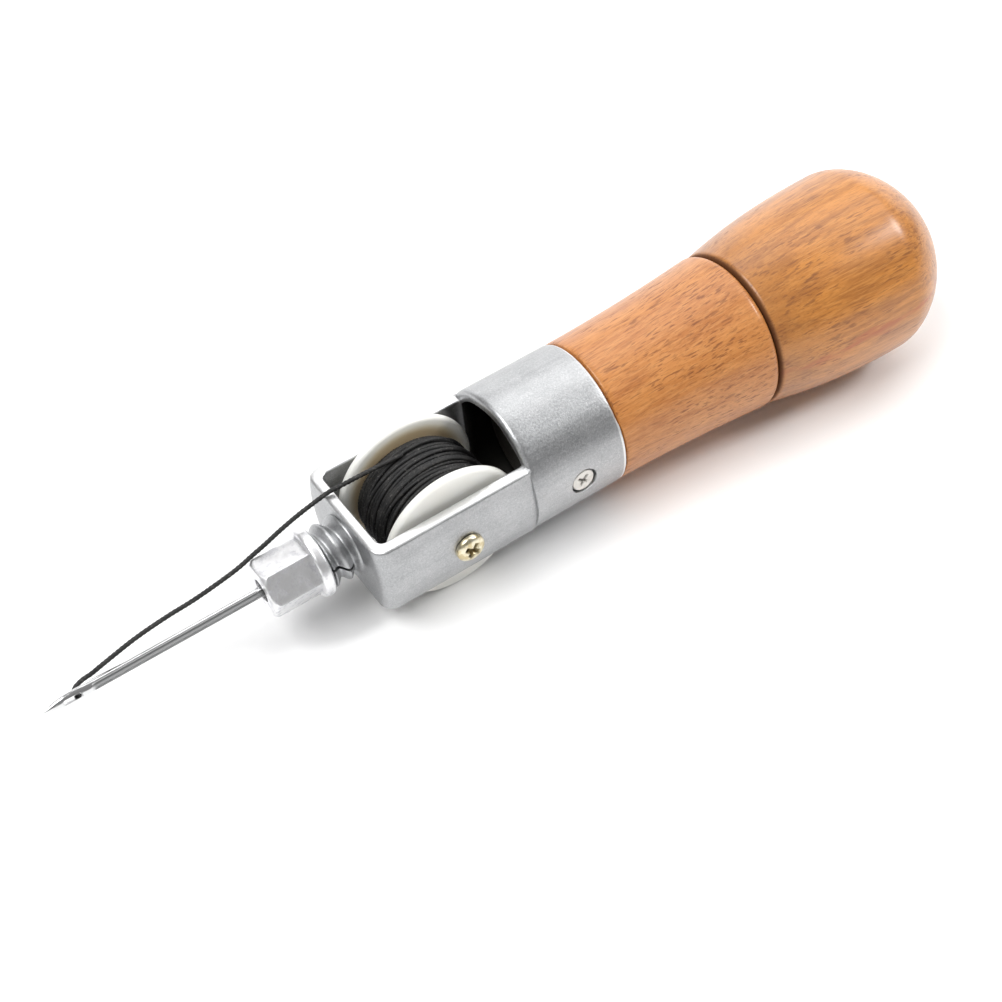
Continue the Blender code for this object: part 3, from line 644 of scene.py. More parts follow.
dress(bobbin(), "bobbin", cream_plastic(), "bobbin_plastic", "bobbin")

# %% [markdown]
# ## The casting
#
# The bobbin frame, the ferrule and the split chuck stub are one casting on the real tool. Each is built
# as a clean stack of loops with its roundings already in it, and then the three are joined. The sides of
# the frame bow outwards a little, as a casting's do so that it leaves the mould.

# %% The open bobbin frame
FRAME_HALF_HEIGHT = 7.3
FRAME_HALF_WIDTH = 12.9
RIM_HALF_WIDTH = 11.35
FRAME_WALL = 1.9
CORNER_R = 2.6
WINDOW_CORNER_R = 1.3
WINDOW_HALF_WIDTH = RIM_HALF_WIDTH - FRAME_WALL - 0.1


def side_half_width(z):
    """How far the bowed side stands out at a height."""
    bulge = FRAME_HALF_WIDTH - RIM_HALF_WIDTH
    radius = (FRAME_HALF_HEIGHT**2 + bulge**2) / (2 * bulge)
    return FRAME_HALF_WIDTH - radius + math.sqrt(radius**2 - z**2)


def u_line(front, half_width, corner, z):
    """The frame in plan: back along one side, round the front, and back along the other."""
    rear = FERRULE_FRONT + 1.9
    side = [rear + (front + corner - rear) * (i / 20) ** 1.6 for i in range(20)]
    tuck = [0.45 * ease((x - FERRULE_FRONT + 0.6) / 1.6) for x in side]
    near = [(x, inset - half_width, z) for x, inset in zip(side, tuck)]
    far = [(x, half_width - inset, z) for x, inset in zip(side, tuck)]
    turn = [math.pi / 2 * i / 8 for i in range(9)]
    arc = [(front + corner - corner * math.sin(a), half_width - corner + corner * math.cos(a)) for a in turn]
    near += [(x, -y, z) for x, y in arc]
    far += [(x, y, z) for x, y in arc]
    middle = [(front, (half_width - corner) * (2 * i / 8 - 1), z) for i in range(1, 8)]
    return near + middle + far[::-1]


def bobbin_frame():
    rim, lip = 0.55, 0.35
    top = FRAME_HALF_HEIGHT
    quarter = [math.pi / 2 * i / 4 for i in range(5)]
    levels = []
    for i in range(13):
        z = (top - rim) * (i / 6 - 1)
        levels.append((FRAME_FRONT, side_half_width(z), CORNER_R, z))
    for a in quarter[1:]:
        inset = rim * (1 - math.cos(a))
        z = top - rim + rim * math.sin(a)
        levels.append((FRAME_FRONT + inset, side_half_width(top - rim) - inset, CORNER_R - inset, z))
    window_front = FRAME_FRONT + FRAME_WALL
    for a in quarter[::-1]:
        inset = lip * (1 - math.cos(a))
        z = top - lip + lip * math.sin(a)
        levels.append((window_front - inset, WINDOW_HALF_WIDTH + inset, WINDOW_CORNER_R + inset, z))
    upper = [level for level in levels if level[3] > 0]
    outer = [level for level in upper if level[0] < window_front - lip - 0.01]
    inner = upper[len(outer):]
    whole = levels[:13] + outer[6:] + inner
    window_edge, half_way, corner, height = inner[-1]
    whole += [(window_edge, half_way, corner, height * share) for share in (0.5, 0.0, -0.5)]
    whole += [(f, w, c, -z) for f, w, c, z in inner[::-1]] + [(f, w, c, -z) for f, w, c, z in outer[:5:-1]]
    bm = bmesh.new()
    rows = [[bm.verts.new(point) for point in u_line(*level)] for level in whole]
    for lower, upper_row in zip(rows, rows[1:] + rows[:1]):
        for i in range(len(lower) - 1):
            bm.faces.new((lower[i], lower[i + 1], upper_row[i + 1], upper_row[i]))
    bm.faces.new([row[0] for row in rows])
    bm.faces.new([row[-1] for row in rows])
    return new_piece("casting", bm)


# %% [markdown]
# The ferrule is a turned tube with a broad bevel round its front edge. Its front edge isn't quite
# straight: where it meets the sides of the frame, the mould left a slightly wavy line.


# %% The ferrule
FERRULE_BORE_R = 11.2


def ferrule():
    corners = [
        (FERRULE_FRONT, FERRULE_BORE_R, 0.3), (FERRULE_FRONT, FERRULE_R, 0.95),
        (FERRULE_REAR, FERRULE_R, 0.5), (FERRULE_REAR, FERRULE_BORE_R, 0.15),
    ]
    outline = fine(rounded(corners, closed=True, steps=6), 1.0, closed=True)
    made = lathe("ferrule", outline, 144, ring=True)
    for vertex in made.data.vertices:
        x, y, z = vertex.co / MM
        near_front = 1 - ease((x - FERRULE_FRONT) / 1.6)
        outwards = Vector((0.0, y, z)).normalized()
        x += noise.noise(outwards * 2.0) * 0.18 * near_front
        radius = math.hypot(y, z)
        beside = 1 - ease((abs(z) - 6.0) / 1.5)
        if radius > FERRULE_BORE_R + 1.0:
            radius += (FERRULE_R - radius) * beside
        vertex.co = (Vector((x, 0.0, 0.0)) + outwards * radius) * MM
    return made


# %% [markdown]
# The chuck stub has a coarse thread outside and is split lengthwise, so that the nut can squeeze it shut
# on the needle. The thread is a helix: the radius depends on how far along and how far round a point is.

# %% The split chuck stub
CREST_R, ROOT_R, CORE_R, PITCH = 5.45, 4.35, 3.25, 2.6
SLIT_TILT = math.radians(20.0)


def stub_radius(x, angle):
    if x > FRAME_FRONT:
        return ROOT_R + 0.3
    if x < NUT_REAR:
        nose = ease((NUT_REAR - x) / 1.3)
        return ROOT_R + (CORE_R - ROOT_R) * nose
    phase = (FRAME_FRONT - x) / PITCH - angle / math.tau + 0.62
    ridge = (0.5 - 0.5 * math.cos(math.tau * phase)) ** 0.8
    flare = 0.4 * ease(1.0 - (FRAME_FRONT - x) / 0.9)
    fade = ease((x - NUT_REAR) / 0.6)
    return ROOT_R + flare + (CREST_R - ROOT_R) * ridge * fade


def chuck_stub():
    stations = [FRAME_FRONT + 1.0] + [FRAME_FRONT - 5.3 * i / 44 for i in range(45)]
    stations += [NUT_REAR - 1.3 * i / 6 for i in range(1, 7)] + [CHUCK_FRONT + 0.3, CHUCK_FRONT]
    loops = []
    for x in stations:
        chamfer = 0.3 if x == CHUCK_FRONT else 0.0
        loops.append(circle(x, lambda angle: stub_radius(x, angle) - chamfer, 96))
    return skin("stub", loops, sharp_degrees=60)


def slit_cutter():
    """A thin blade that wavers a little, as a slit sawn in a rough thread seems to."""
    loops = []
    for i in range(30):
        x = CHUCK_FRONT - 1.0 + (FRAME_FRONT - 1.0 - CHUCK_FRONT + 1.0) * i / 29
        off = 0.16 * math.sin(x * 2.1) + 0.07 * math.sin(x * 5.3) - 0.48 * max(x - NUT_REAR, 0.0)
        corners = ((-8.0, -0.25), (8.0, -0.25), (8.0, 0.25), (-8.0, 0.25))
        loops.append([(x, y, z + off) for y, z in corners])
    made = skin("slit", loops)
    made.data.transform(Matrix.Rotation(-SLIT_TILT, 4, "X"))
    return made


# %% [markdown]
# The three are joined and then drilled: the needle's bore, the axle's hole, and the screw hole in the
# ferrule with the round recess that its head sits in.


# %% Join and drill the casting
def rod(name, start, end, radius, steps=48):
    return lathe(name, [(start, 0.0), (start, radius), (end, radius), (end, 0.0)], steps)


def cross_rod(name, x, start, end, radius, steps=48):
    made = rod(name, start, end, radius, steps)
    along_y(made, x)
    return made


PIN_X = (pin_low.x + pin_high.x) / 2
PIN_SEAT = -FERRULE_R + 1.25


def casting():
    made = bobbin_frame()
    combine(made, ferrule(), "UNION")
    combine(made, chuck_stub(), "UNION")
    combine(made, rod("bore", CHUCK_FRONT - 1, FRAME_FRONT - 1.9, 1.25), "DIFFERENCE")
    combine(made, slit_cutter(), "DIFFERENCE")
    combine(made, cross_rod("axle_hole", AXLE_X, -16, 16, 1.95), "DIFFERENCE")
    combine(made, cross_rod("pin_seat", PIN_X, -16, PIN_SEAT, 2.5), "DIFFERENCE")
    combine(made, cross_rod("pin_hole", PIN_X, -16, -10.2, 1.4), "DIFFERENCE")
    soften(made, 0.09, 48.0)
    return made


# %% [markdown]
# Die-cast aluminium is never one even grey. It has a fine sparkle from the grain, cloudy patches where
# the metal froze at different times, and long faint streaks from the tumbling that cleaned it. The flats
# round the window and the rear edge of the ferrule were ground after casting, so they are paler.


# %% Cast aluminium finish
def cast_aluminium():
    made = Finish("cast_aluminium", Metallic=1.0)
    place = made.place()
    grain = made.noise(place, 3.4, 3.0, 0.65)
    cloud = made.noise(place, 0.28, 3.0, 0.55)
    streak = made.noise(made.place((0.12, 1.6, 1.6)), 1.0, 3.0)
    sparkle = made.step(made.noise(place, 5.5, 2.0), 0.62, 0.74)
    along = made.axis(place, "X")
    height = abs(made.axis(place, "Z"))
    ground = made.step(height, 7.0, 7.25) * (1 - made.step(along, FERRULE_FRONT - 0.4, FERRULE_FRONT))
    ground = ground * (1 - made.step(height, 7.4, 7.6))
    tone = 0.52 + 1.2 * (grain - 0.5) + 0.45 * (cloud - 0.5) + 0.3 * (streak - 0.5)
    metal = made.mix(tone, (0.27, 0.275, 0.285, 1.0), (0.60, 0.605, 0.61, 1.0))
    metal = made.mix(sparkle * 0.45, metal, (0.90, 0.90, 0.90, 1.0))
    rear_rim = made.step(along, FERRULE_REAR - 0.55, FERRULE_REAR - 0.3)
    metal = made.mix((ground + rear_rim) * 0.8, metal, (0.86, 0.86, 0.86, 1.0))
    # painted shade: the inside of the ferrule's bore is coloured nearly black
    radius = made.from_line(place, (0.0, 0.0, 0.0), (0.0, 1.0, 1.0))
    painted_bore_shade = 1 - made.step(radius, FERRULE_BORE_R, FERRULE_BORE_R + 0.3)
    painted_bore_shade = painted_bore_shade * made.step(along, FERRULE_FRONT, FERRULE_FRONT + 0.3)
    made.feed("Base Color", made.mix(painted_bore_shade, metal, (0.035, 0.033, 0.030, 1.0)))
    made.feed("Roughness", 0.30 + 0.22 * grain - 0.06 * ground)
    relief = made.relief(made.noise(place, 2.2, 4.0, 0.65), 0.035)
    made.feed("Normal", made.relief(streak, 0.02, relief))
    return made.material


CAST_LOOK = cast_aluminium()
dress(casting(), "frame", CAST_LOOK, "cast_metal", "frame_casting")

# %% [markdown]
# ## The chuck nut
#
# The nut is a hexagon with a round flange, tumbled until its corners are soft. Its outline at each station
# is the smaller of a hexagon and a round envelope, and a soft minimum rounds the corner between them.

# %% Shape the nut
NUT_FLATS = 9.3
NUT_TURN = math.radians(6.5)


def hexagon_radius(angle):
    sector = math.tau / 6
    off = (angle - NUT_TURN) % sector - sector / 2
    return NUT_FLATS / 2 / math.cos(off)


def chuck_nut():
    flange_front = NUT_REAR - 2.0
    corner = NUT_FLATS / 2 / math.cos(math.tau / 12)
    flange = rounded([
        (NUT_REAR, 4.85, 0), (NUT_REAR, nut_high.z, 0.5), (flange_front, nut_high.z, 0.55),
        (flange_front, corner - 0.2, 0),
    ])
    body = rounded([
        (flange_front - 0.02, corner + 0.05, 0), (NUT_FRONT + 0.9, corner + 0.05, 0.8),
        (NUT_FRONT, corner - 0.75, 0.45), (NUT_FRONT, 2.25, 0),
    ], steps=8)
    inside = [
        (NUT_FRONT + 0.12, 2.1), (NUT_FRONT + 0.8, 2.1), (NUT_FRONT + 0.9, 3.6),
        (flange_front, 3.6), (NUT_REAR - 0.5, 4.7), (NUT_REAR, 4.8),
    ]
    steps = 168
    loops = [circle(x, r, steps) for x, r in fine(flange, 0.4)]
    for x, envelope in fine(body, 0.5):
        loops.append(circle(x, lambda a: soft_min(envelope, hexagon_radius(a), 0.22), steps))
    loops += [circle(x, r, steps) for x, r in inside]
    return skin("nut_of_chuck", loops, ring=True, sharp_degrees=38)


# %% [markdown]
# The nut is brighter than the casting because it was machined and polished. Tumbling left short scuffs on
# the flats, which is where the grey patches come from.


# %% Bright metal finish
def bright_metal():
    made = Finish("bright_metal", Metallic=1.0)
    place = made.place()
    scuff = made.step(made.noise(made.place((0.7, 0.7, 0.7)), 0.9, 5.0, 0.65), 0.47, 0.66)
    fine_grain = made.noise(place, 4.2, 3.0, 0.6)
    metal = made.mix(scuff * 0.8 + fine_grain * 0.2, (0.93, 0.93, 0.935, 1.0), (0.62, 0.62, 0.645, 1.0))
    made.feed("Base Color", metal)
    made.feed("Roughness", 0.34 + 0.14 * scuff + 0.08 * fine_grain)
    dents = made.noise(place, 0.5, 3.0)
    made.feed("Normal", made.relief(dents, 0.07))
    return made.material


BRIGHT_LOOK = bright_metal()
dress(chuck_nut(), "chuck_nut", BRIGHT_LOOK, "bright_metal", "chuck_nut")

# %% [markdown]
# ## The needle
#
# An awl's needle has a long groove down one side, in which the thread lies as it goes through leather. The
# groove ends just before the eye, and the point beyond the eye is a narrow spear. Each station along the
# needle is a slightly flattened circle, pressed in where the groove is.

# %% Shape the needle
NEEDLE_R = 0.95
EYE_SIDE = math.radians(15.0)      # the eye and the groove face -Y and a little up
EYE_NEAR, EYE_FAR, EYE_HALF = 3.7, 6.9, 0.46
GROOVE_START = 8.2


def needle_size(from_tip):
    """Half width across the eye and half thickness along it, at a distance from the tip."""
    shape = (
        (0.0, 0.02, 0.02), (0.35, 0.10, 0.10), (1.0, 0.30, 0.27), (2.0, 0.62, 0.48), (3.0, 0.90, 0.62),
        (4.2, 1.08, 0.72), (5.4, 1.13, 0.77), (6.8, 1.10, 0.80), (8.2, 1.02, 0.90), (9.8, 1.0, 1.0),
    )
    for (a, wide_a, thick_a), (b, wide_b, thick_b) in zip(shape, shape[1:]):
        if from_tip <= b:
            t = ease((from_tip - a) / (b - a)) * 0.35 + (from_tip - a) / (b - a) * 0.65
            return wide_a + (wide_b - wide_a) * t, thick_a + (thick_b - thick_a) * t
    return 1.0, 1.0


def needle():
    steps = 64
    length = needle_high.x - TIP
    stations = [0.0, 0.15, 0.35] + [0.35 + 0.25 * i for i in range(1, 42)]
    stations += [12.0 + (length - 12.3) * i / 24 for i in range(25)] + [length - 0.3, length]
    loops = []
    for from_tip in stations:
        wide, thick = needle_size(from_tip)
        end = 0.3 / NEEDLE_R if from_tip == length else 0.0
        depth = 0.42 * ease((from_tip - GROOVE_START) / 1.6) * ease((length - 4 - from_tip) / 2)
        loop = []
        for i in range(steps):
            angle = math.tau * i / steps
            y = -(thick - end) * math.cos(angle) * NEEDLE_R
            z = (wide - end) * math.sin(angle) * NEEDLE_R
            across = z / NEEDLE_R
            if y < 0 and abs(across) < 0.80:
                y += depth * ease((0.80 - abs(across)) / 0.30)
            loop.append((TIP + from_tip, y, z))
        loops.append(loop)
    made = skin("needle_ground", loops, sharp_degrees=35)
    reach = (EYE_FAR - EYE_NEAR) / 2 - EYE_HALF
    middle = TIP + (EYE_NEAR + EYE_FAR) / 2
    outline = []
    for i in range(24):
        a = math.tau * i / 24
        end = middle + math.copysign(reach, math.cos(a))
        outline.append((end + EYE_HALF * math.cos(a), EYE_HALF * math.sin(a)))
    eye = skin("eye", [[(x, y, z) for x, z in outline] for y in (-3.0, 3.0)])
    combine(made, eye, "DIFFERENCE")
    soften(made, 0.05, 50.0)
    made.data.transform(Matrix.Rotation(-EYE_SIDE, 4, "X"))
    return made


# %% [markdown]
# Nickel-plated steel is nearly a mirror, with hair-fine lines left lengthwise by grinding. The bottom of
# the groove was never polished, so it stays a dull dark grey. The distance from the groove's own middle
# line gives that mask.


# %% Needle steel finish
def needle_steel(grooved):
    made = Finish("grooved_needle_steel" if grooved else "needle_steel", Metallic=1.0)
    place = made.place()
    lines = made.noise(made.place((0.08, 3.0, 3.0)), 2.4, 3.0, 0.6)
    specks = made.noise(place, 5.0, 3.0, 0.7)
    steel = made.mix(lines, (0.66, 0.66, 0.67, 1.0), (0.80, 0.80, 0.80, 1.0))
    dull = 0.0
    if grooved:
        turned = made.place(turn=(EYE_SIDE, 0.0, 0.0))
        along = made.axis(turned, "X")
        in_groove = 1 - made.step(made.axis(turned, "Y"), -0.45, -0.35)
        in_groove = in_groove * (1 - made.step(abs(made.axis(turned, "Z")), 0.52, 0.70))
        dull = in_groove * made.step(along, TIP + GROOVE_START + 0.2, TIP + GROOVE_START + 1.2)
        steel = made.mix(dull * 0.85, steel, (0.23, 0.235, 0.235, 1.0))
    made.feed("Base Color", steel)
    made.feed("Roughness", 0.13 + 0.10 * specks + 0.22 * dull)
    made.feed("Normal", made.relief(lines, 0.012))
    return made.material


dress(needle(), "needle", needle_steel(True), "needle_steel", "needle")
print("needle", round(needle_high.x - TIP, 1), "mm long with its shank")

# %% [markdown]
# ## The screws
#
# Both screws are turned, and their cross recess is cut with a tapered cross. The bobbin's screw has a
# domed brass-plated head, and the ferrule's is a small flat head that sits down in its recess.

# %% Cut the screws
CROSS_TURN = math.radians(38.0)


def cross_cutter(x, head_y, arm, width, depth):
    quarter = [(arm / 2, -width / 2), (arm / 2, width / 2), (width / 2, width / 2)]
    outline = list(quarter)
    for _ in range(3):
        quarter = [(-b, a) for a, b in quarter]
        outline += quarter
    levels = ((head_y - 1.0, 1.05), (head_y, 1.0), (head_y + depth, 0.45))
    loops = [[(a * scale, y, b * scale) for a, b in outline] for y, scale in levels]
    made = skin("cross", loops)
    made.data.transform(Matrix.Translation((x * MM, 0, 0)) @ Matrix.Rotation(CROSS_TURN, 4, "Y"))
    return made


def axle_screw():
    top, seat, end, head, shank = axle_low.y, -FRAME_HALF_WIDTH, axle_high.y, 2.6, 1.65
    turn = [math.pi / 2 * i / 10 for i in range(11)]
    dome = [(top + 1.0 * (1 - math.cos(a)), head * math.sin(a)) for a in turn]
    under = [(top + 1.0, head, 0), (seat, head, 0.12), (seat, shank, 0), (end - 0.4, shank, 0)]
    outline = dome + rounded(under)[1:]
    outline += [(end, shank - 0.4), (end, 0.0)]
    made = lathe("axle_screw_turned", outline, 72)
    along_y(made, AXLE_X)
    combine(made, cross_cutter(AXLE_X, top, 3.7, 1.15, 1.1), "DIFFERENCE")
    soften(made, 0.06, 35.0)
    return made


def ferrule_screw():
    top, seat, end, head, shank = pin_low.y, PIN_SEAT - 0.3, pin_high.y, 2.15, 1.1
    corners = [(top, 0, 0), (top, head, 0.25), (seat, head, 0.1), (seat, shank, 0), (end - 1.6, shank, 0)]
    outline = rounded(corners) + [(end - 1.6, shank), (end, 0.0)]
    outline = list(dict.fromkeys(outline))
    made = lathe("ferrule_screw_turned", outline, 64)
    along_y(made, PIN_X)
    combine(made, cross_cutter(PIN_X, top, 2.7, 0.62, 0.5), "DIFFERENCE")
    soften(made, 0.05, 40.0)
    return made


# %% [markdown]
# Yellow plating is uneven: thin and silvery on the high spots, browner down in the recess.


# %% Screw finishes
def yellow_plating():
    made = Finish("yellow_plating", Metallic=1.0)
    place = made.place()
    patch = made.step(made.noise(place, 0.9, 3.0, 0.6), 0.38, 0.62)
    radius = made.from_line(place, (AXLE_X, 0.0, 0.0), (1.0, 0.0, 1.0))
    deep = made.step(made.axis(place, "Y"), axle_low.y + 0.3, axle_low.y + 0.55)
    deep = deep * (1 - made.step(radius, 1.8, 2.0))
    gold = made.mix(patch, (0.84, 0.78, 0.60, 1.0), (0.62, 0.52, 0.31, 1.0))
    made.feed("Base Color", made.mix(deep * 0.85, gold, (0.16, 0.12, 0.05, 1.0)))
    made.feed("Roughness", 0.22 + 0.18 * made.noise(place, 3.0))
    made.feed("Normal", made.relief(made.noise(place, 1.2, 2.0), 0.05))
    return made.material


def dull_plating():
    made = Finish("dull_plating", Metallic=0.8)
    place = made.place()
    deep = made.step(made.axis(place, "Y"), pin_low.y + 0.12, pin_low.y + 0.4)
    pale = made.mix(made.noise(place, 1.5, 3.0), (0.60, 0.58, 0.54, 1.0), (0.80, 0.78, 0.74, 1.0))
    made.feed("Base Color", made.mix(deep * 0.8, pale, (0.10, 0.09, 0.08, 1.0)))
    made.feed("Roughness", 0.30 + 0.2 * made.noise(place, 3.0))
    made.feed("Normal", made.relief(made.noise(place, 2.0, 3.0), 0.03))
    return made.material


dress(axle_screw(), "axle_screw", yellow_plating(), "brass", "axle_screw")
dress(ferrule_screw(), "frame", dull_plating(), "bright_metal", "ferrule_screw")

# %% [markdown]
# ## The wooden handle
#
# Both parts are turned from beech and varnished. The outline of the grip is a shallow hollow curve, and
# the knob swells to its widest near the butt before it closes in a blunt dome. The knob isn't quite in
# line with the grip, as is usual when a handle made in two parts is screwed together.

# %% Outlines of grip and knob
GRIP_LENGTH = CAP_SEAM - FERRULE_REAR
GRIP_FRONT_R, GRIP_REAR_R, GRIP_WAIST = 13.2, 15.05, 13.45
STORE_R, SPIGOT_R = 8.0, 9.5
CAP_FRONT_R, CAP_MAX_R = 14.7, cap_high.y
CAP_MAX_X = BUTT - 14.6


def grip_radius(x):
    t = (x - FERRULE_REAR) / GRIP_LENGTH
    return GRIP_FRONT_R * (1 - t) ** 2 + 2 * GRIP_WAIST * t * (1 - t) + GRIP_REAR_R * t * t


def cap_radius(x):
    if x <= CAP_MAX_X:
        t = (CAP_MAX_X - x) / (CAP_MAX_X - CAP_SEAM)
        return CAP_MAX_R - (CAP_MAX_R - CAP_FRONT_R) * t**2.25
    t = min((x - CAP_MAX_X) / (BUTT - CAP_MAX_X), 1.0)
    return CAP_MAX_R * (1.0 - t**1.75) ** (1.0 / 1.75)


def handle_grip():
    front, rear = FERRULE_REAR + 0.3, CAP_SEAM
    tenon_front, tenon_r = grip_low.x, 10.9
    store_front = FERRULE_REAR - 3.4
    outline = [(tenon_front, 0.0), (tenon_front, tenon_r - 0.5), (tenon_front + 0.5, tenon_r)]
    outline += [(front, tenon_r), (front, GRIP_FRONT_R - 0.4), (front + 0.12, GRIP_FRONT_R - 0.12)]
    outline += [(front + 0.4 + (rear - 1.5 - front - 0.4) * i / 40, 0) for i in range(41)]
    outline = [(x, r or grip_radius(x)) for x, r in outline[1:]]
    edge = 1.5
    for i in range(1, 9):
        a = math.pi / 2 * i / 8
        x = rear - edge + edge * math.sin(a)
        outline.append((x, grip_radius(rear - edge) - edge * 0.9 * (1 - math.cos(a)) + 0.1 * math.sin(a)))
    outline += [(rear, SPIGOT_R + 0.3), (rear - 8.9, SPIGOT_R + 0.3), (rear - 8.9, STORE_R)]
    outline += [(store_front, STORE_R), (store_front - 1.5, 0.0)]
    made = lathe("grip_turned", [(tenon_front, 0.0)] + outline, 144)
    combine(made, cross_rod("pilot", PIN_X, -FERRULE_R, pin_high.y + 0.3, 1.4), "DIFFERENCE")
    return made


def handle_cap():
    front, spigot_front = CAP_SEAM + 0.3, cap_low.x
    outline = [(cap_high.x - 12.3, 0.0), (cap_high.x - 14.8, STORE_R), (spigot_front, STORE_R)]
    outline += [(spigot_front, SPIGOT_R - 0.7)]
    for i in range(4):
        start = spigot_front + 0.4 + i * 1.9
        outline += [(start + 0.6, SPIGOT_R), (start + 1.0, SPIGOT_R), (start + 1.5, SPIGOT_R - 0.45)]
    edge = 1.1
    outline += [(front, SPIGOT_R - 0.45)]
    for i in range(7):
        a = math.pi / 2 * i / 6
        radius = cap_radius(front + edge) - edge * (1 - math.sin(a))
        outline.append((front + edge * (1 - math.cos(a)), radius))
    outline += [(front + edge + (CAP_MAX_X - front - edge) * i / 40, 0) for i in range(1, 41)]
    outline += [(CAP_MAX_X + (BUTT - CAP_MAX_X) * math.sin(math.pi / 2 * i / 36), 0) for i in range(1, 36)]
    outline = outline[:1] + [(x, r or cap_radius(x)) for x, r in outline[1:]] + [(BUTT, 0.0)]
    made = lathe("cap_turned", outline, 160)
    for vertex in made.data.vertices:
        x, y, z = vertex.co / MM
        if math.hypot(y, z) > SPIGOT_R + 0.2 or x > CAP_MAX_X:
            lean = ease((x - CAP_SEAM) / 26.0)
            vertex.co.z -= 0.22 * lean * MM
    return made


# %% [markdown]
# ### Varnished beech
#
# Steamed beech is an orange-brown wood that shows three things at once: broad bands of light and dark
# along the grain, short dark pores a few millimetres long and very thin, and a satin glow from the
# varnish. Bands and pores are the same kind of noise, stretched along the handle by different amounts.
# The pores are also pressed in a little, which breaks up the shine.


# %% Beech finish
def beech(name, pale, middle, dark, pore, pore_amount, lean):
    """Varnished beech whose grain runs along X, leaning by a small angle."""
    made = Finish(name, Coat_Roughness=0.26, Coat_Weight=0.5, Specular_IOR_Level=0.35)
    turn = (0.3, 0.0, lean)
    broad = made.noise(made.place((0.07, 0.45, 0.45), turn), 1.0, 3.0, 0.5, 0.6)
    narrow = made.noise(made.place((0.14, 1.8, 1.8), turn), 1.0, 4.0, 0.65, 0.3)
    fleck = made.noise(made.place((0.34, 2.9, 2.9), turn), 1.0, 2.0, 0.5)
    hair = made.noise(made.place((0.5, 6.5, 6.5), turn), 1.0, 3.0, 0.6)
    patch = made.step(made.noise(made.place((0.10, 0.25, 0.25)), 1.0, 2.0), 0.38, 0.60)
    pores = made.step(fleck, 0.535, 0.66) * (0.25 + 0.75 * patch)
    wood = made.mix(made.step(broad, 0.22, 0.72), dark, middle)
    wood = made.mix(made.step(narrow, 0.40, 0.72) * 0.6, wood, pale)
    wood = made.mix(made.step(hair, 0.50, 0.66) * 0.30, wood, pore)
    wood = made.mix(pores * pore_amount, wood, pore)
    return made, wood, pores, narrow


def grip_beech():
    made, wood, pores, narrow = beech(
        "grip_beech", rgb(216, 152, 88), rgb(198, 130, 68), rgb(176, 108, 52), rgb(112, 60, 30), 0.7,
        math.radians(-3.0),
    )
    # painted shade: the tenon's front, inside the ferrule, is coloured nearly black
    painted_tenon_shade = 1 - made.step(made.axis(made.place(), "X"), FERRULE_REAR - 1.5, FERRULE_REAR - 0.5)
    made.feed("Base Color", made.mix(painted_tenon_shade, wood, (0.012, 0.010, 0.008, 1.0)))
    made.feed("Roughness", 0.36 + 0.12 * narrow + 0.15 * pores)
    made.feed("Normal", made.relief(1 - pores * 0.8 + narrow * 0.2, 0.015))
    return made.material


STREAK_LEVEL = 3.0


def cap_beech():
    """The knob is a shade darker, with one reddish streak that runs along its front side."""
    made, wood, pores, narrow = beech(
        "cap_beech", rgb(214, 148, 74), rgb(200, 130, 56), rgb(158, 97, 42), rgb(106, 58, 28), 0.6,
        math.radians(2.0),
    )
    place = made.place()
    height = made.axis(place, "Z") - 0.06 * made.axis(place, "X")
    waver = made.noise(made.place((0.08, 0.3, 0.3)), 1.0, 3.0)
    off = abs(height + 6.0 * (waver - 0.5) + STREAK_LEVEL)
    broken = made.step(made.noise(made.place((0.15, 1, 1)), 1.0), 0.35, 0.6)
    streak = (1 - made.step(off, 0.25, 1.3)) * broken
    front_side = 1 - made.step(made.axis(place, "Y"), -4.0, 0.0)
    wood = made.mix(streak * front_side * 0.6, wood, rgb(176, 84, 36))
    shade = 1 - made.step(made.axis(place, "X"), CAP_SEAM + 1.0, CAP_SEAM + 12.0)
    wood = made.mix(shade * 0.35, wood, rgb(140, 94, 60))
    # painted shade: the knob's front edge by the seam is coloured dark brown and given less coat, so the
    # joint reads dark
    painted_seam_shade = 1 - made.step(made.axis(place, "X"), CAP_SEAM + 0.4, CAP_SEAM + 0.9)
    made.feed("Base Color", made.mix(painted_seam_shade * 0.8, wood, rgb(64, 36, 20)))
    made.feed("Coat Weight", 0.6 * (1 - painted_seam_shade))
    made.feed("Roughness", 0.33 + 0.12 * narrow + 0.10 * pores + 0.3 * painted_seam_shade)
    made.feed("Normal", made.relief(1 - pores * 0.5 + narrow * 0.3, 0.008))
    return made.material


dress(handle_grip(), "frame", grip_beech(), "grip_wood", "handle_grip")
dress(handle_cap(), "handle_cap", cap_beech(), "cap_wood", "handle_cap")

# %% [markdown]
# ## What the handle keeps
#
# The spare needles and the wrench are seen only when the knob is off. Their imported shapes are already
# right, so they keep them and get a finish of their own.


# %% Finish the stored pieces
def stamped_steel():
    made = Finish("stamped_steel", Metallic=1.0)
    place = made.place()
    brushed = made.noise(made.place((0.15, 3.0, 3.0)), 1.5, 3.0)
    warm = made.mix(made.noise(place, 0.3, 2.0), (0.74, 0.71, 0.64, 1.0), (0.66, 0.64, 0.60, 1.0))
    made.feed("Base Color", made.mix(brushed * 0.3, warm, (0.50, 0.49, 0.46, 1.0)))
    made.feed("Roughness", 0.24 + 0.16 * brushed)
    made.feed("Normal", made.relief(brushed, 0.015))
    return made.material


plain_steel = needle_steel(False)
for node, look in (
    ("spare_needle_heavy", plain_steel), ("spare_needle_fine", plain_steel), ("wrench", stamped_steel()),
):
    nodes[node].data.materials.clear()
    nodes[node].data.materials.append(look)
    print(node, "finished in", look.name)

# %% [markdown]
# ## The table and the light
#
# The awl lies on a pale table, touching it with the rims of the bobbin and the widest part of the knob,
# so the table is tilted to suit. A wide low box behind and a big one overhead draw the broad bright band
# along the ferrule, one over the needle's end lights the nut, and a small bright one in front makes the
# gleam on the knob. The grey surround between them leaves the dark band that makes metal read as metal.

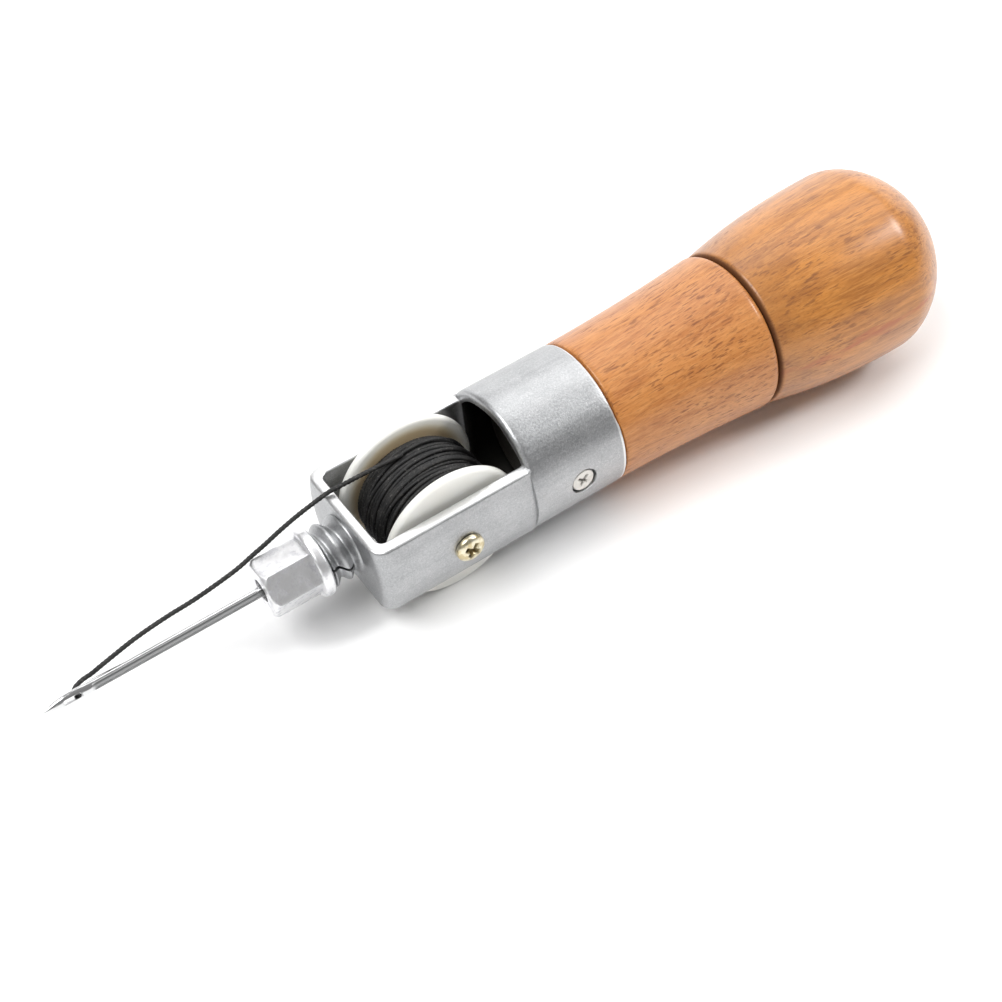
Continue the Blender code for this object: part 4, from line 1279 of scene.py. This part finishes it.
# %% Lay the table
REST_FRONT = Vector((BOBBIN_X, 0.0, bobbin_low.z))
REST_REAR = Vector((CAP_MAX_X, 0.0, -CAP_MAX_R - 0.22))


def table():
    slope = math.atan2(REST_FRONT.z - REST_REAR.z, REST_REAR.x - REST_FRONT.x)
    bm = bmesh.new()
    bmesh.ops.create_grid(bm, x_segments=1, y_segments=1, size=1500.0)
    made = new_piece("table", bm)
    made.rotation_euler = (0.0, slope, 0.0)
    made.location = (REST_FRONT + Vector((0.0, 0.0, -0.15))) * MM
    look = Finish("pale_table", Roughness=0.8, Base_Color=(0.93, 0.93, 0.93, 1.0))
    made.data.materials.append(look.material)
    made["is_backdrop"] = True
    return made


table()

# %% Set the lights
LIGHT_CENTRE = Vector((10.0, 0.0, 0.0))


def soft_box(name, round_degrees, up_degrees, distance, width, height, glow):
    """A flat light at a compass angle and an elevation, whose surface has the brightness glow."""
    lamp = bpy.data.lights.new(name, "AREA")
    lamp.shape = "RECTANGLE"
    lamp.size = width * MM
    lamp.size_y = height * MM
    lamp.energy = glow * math.pi * lamp.size * lamp.size_y
    made = bpy.data.objects.new(name, lamp)
    turn, up = math.radians(round_degrees), math.radians(up_degrees)
    away = Vector((math.cos(turn) * math.cos(up), math.sin(turn) * math.cos(up), math.sin(up)))
    made.location = (LIGHT_CENTRE + away * distance) * MM
    made.rotation_euler = away.to_track_quat("Z", "Y").to_euler()
    bpy.context.collection.objects.link(made)


soft_box("back_wall", 55.0, 15.0, 1600.0, 3600.0, 1000.0, 1.45)
soft_box("top_box", 38.0, 58.0, 1200.0, 1250.0, 760.0, 2.2)
soft_box("left_box", 180.0, 62.0, 1200.0, 750.0, 650.0, 7.0)
soft_box("gleam_box", -26.0, 40.0, 1000.0, 215.0, 215.0, 25.0)

world = bpy.data.worlds.new("studio")
world.use_nodes = True
world.node_tree.nodes["Background"].inputs["Color"].default_value = (1.0, 1.0, 1.0, 1.0)
world.node_tree.nodes["Background"].inputs["Strength"].default_value = 0.26
bpy.context.scene.world = world
bpy.context.scene.view_settings.view_transform = "Standard"

# %% [markdown]
# ## Sizes
#
# The last two boxes, before and after the looks, are kept together in one table, and the one after the
# looks is printed. A finish may not make the tool bigger.

# %% Gather the sizes and print the new box
sizes = {"cad": CAD_BOUNDS, "visual": [list(corner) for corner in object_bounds()]}
print("size now", [round((b - a) / MM, 2) for a, b in zip(*sizes["visual"])])
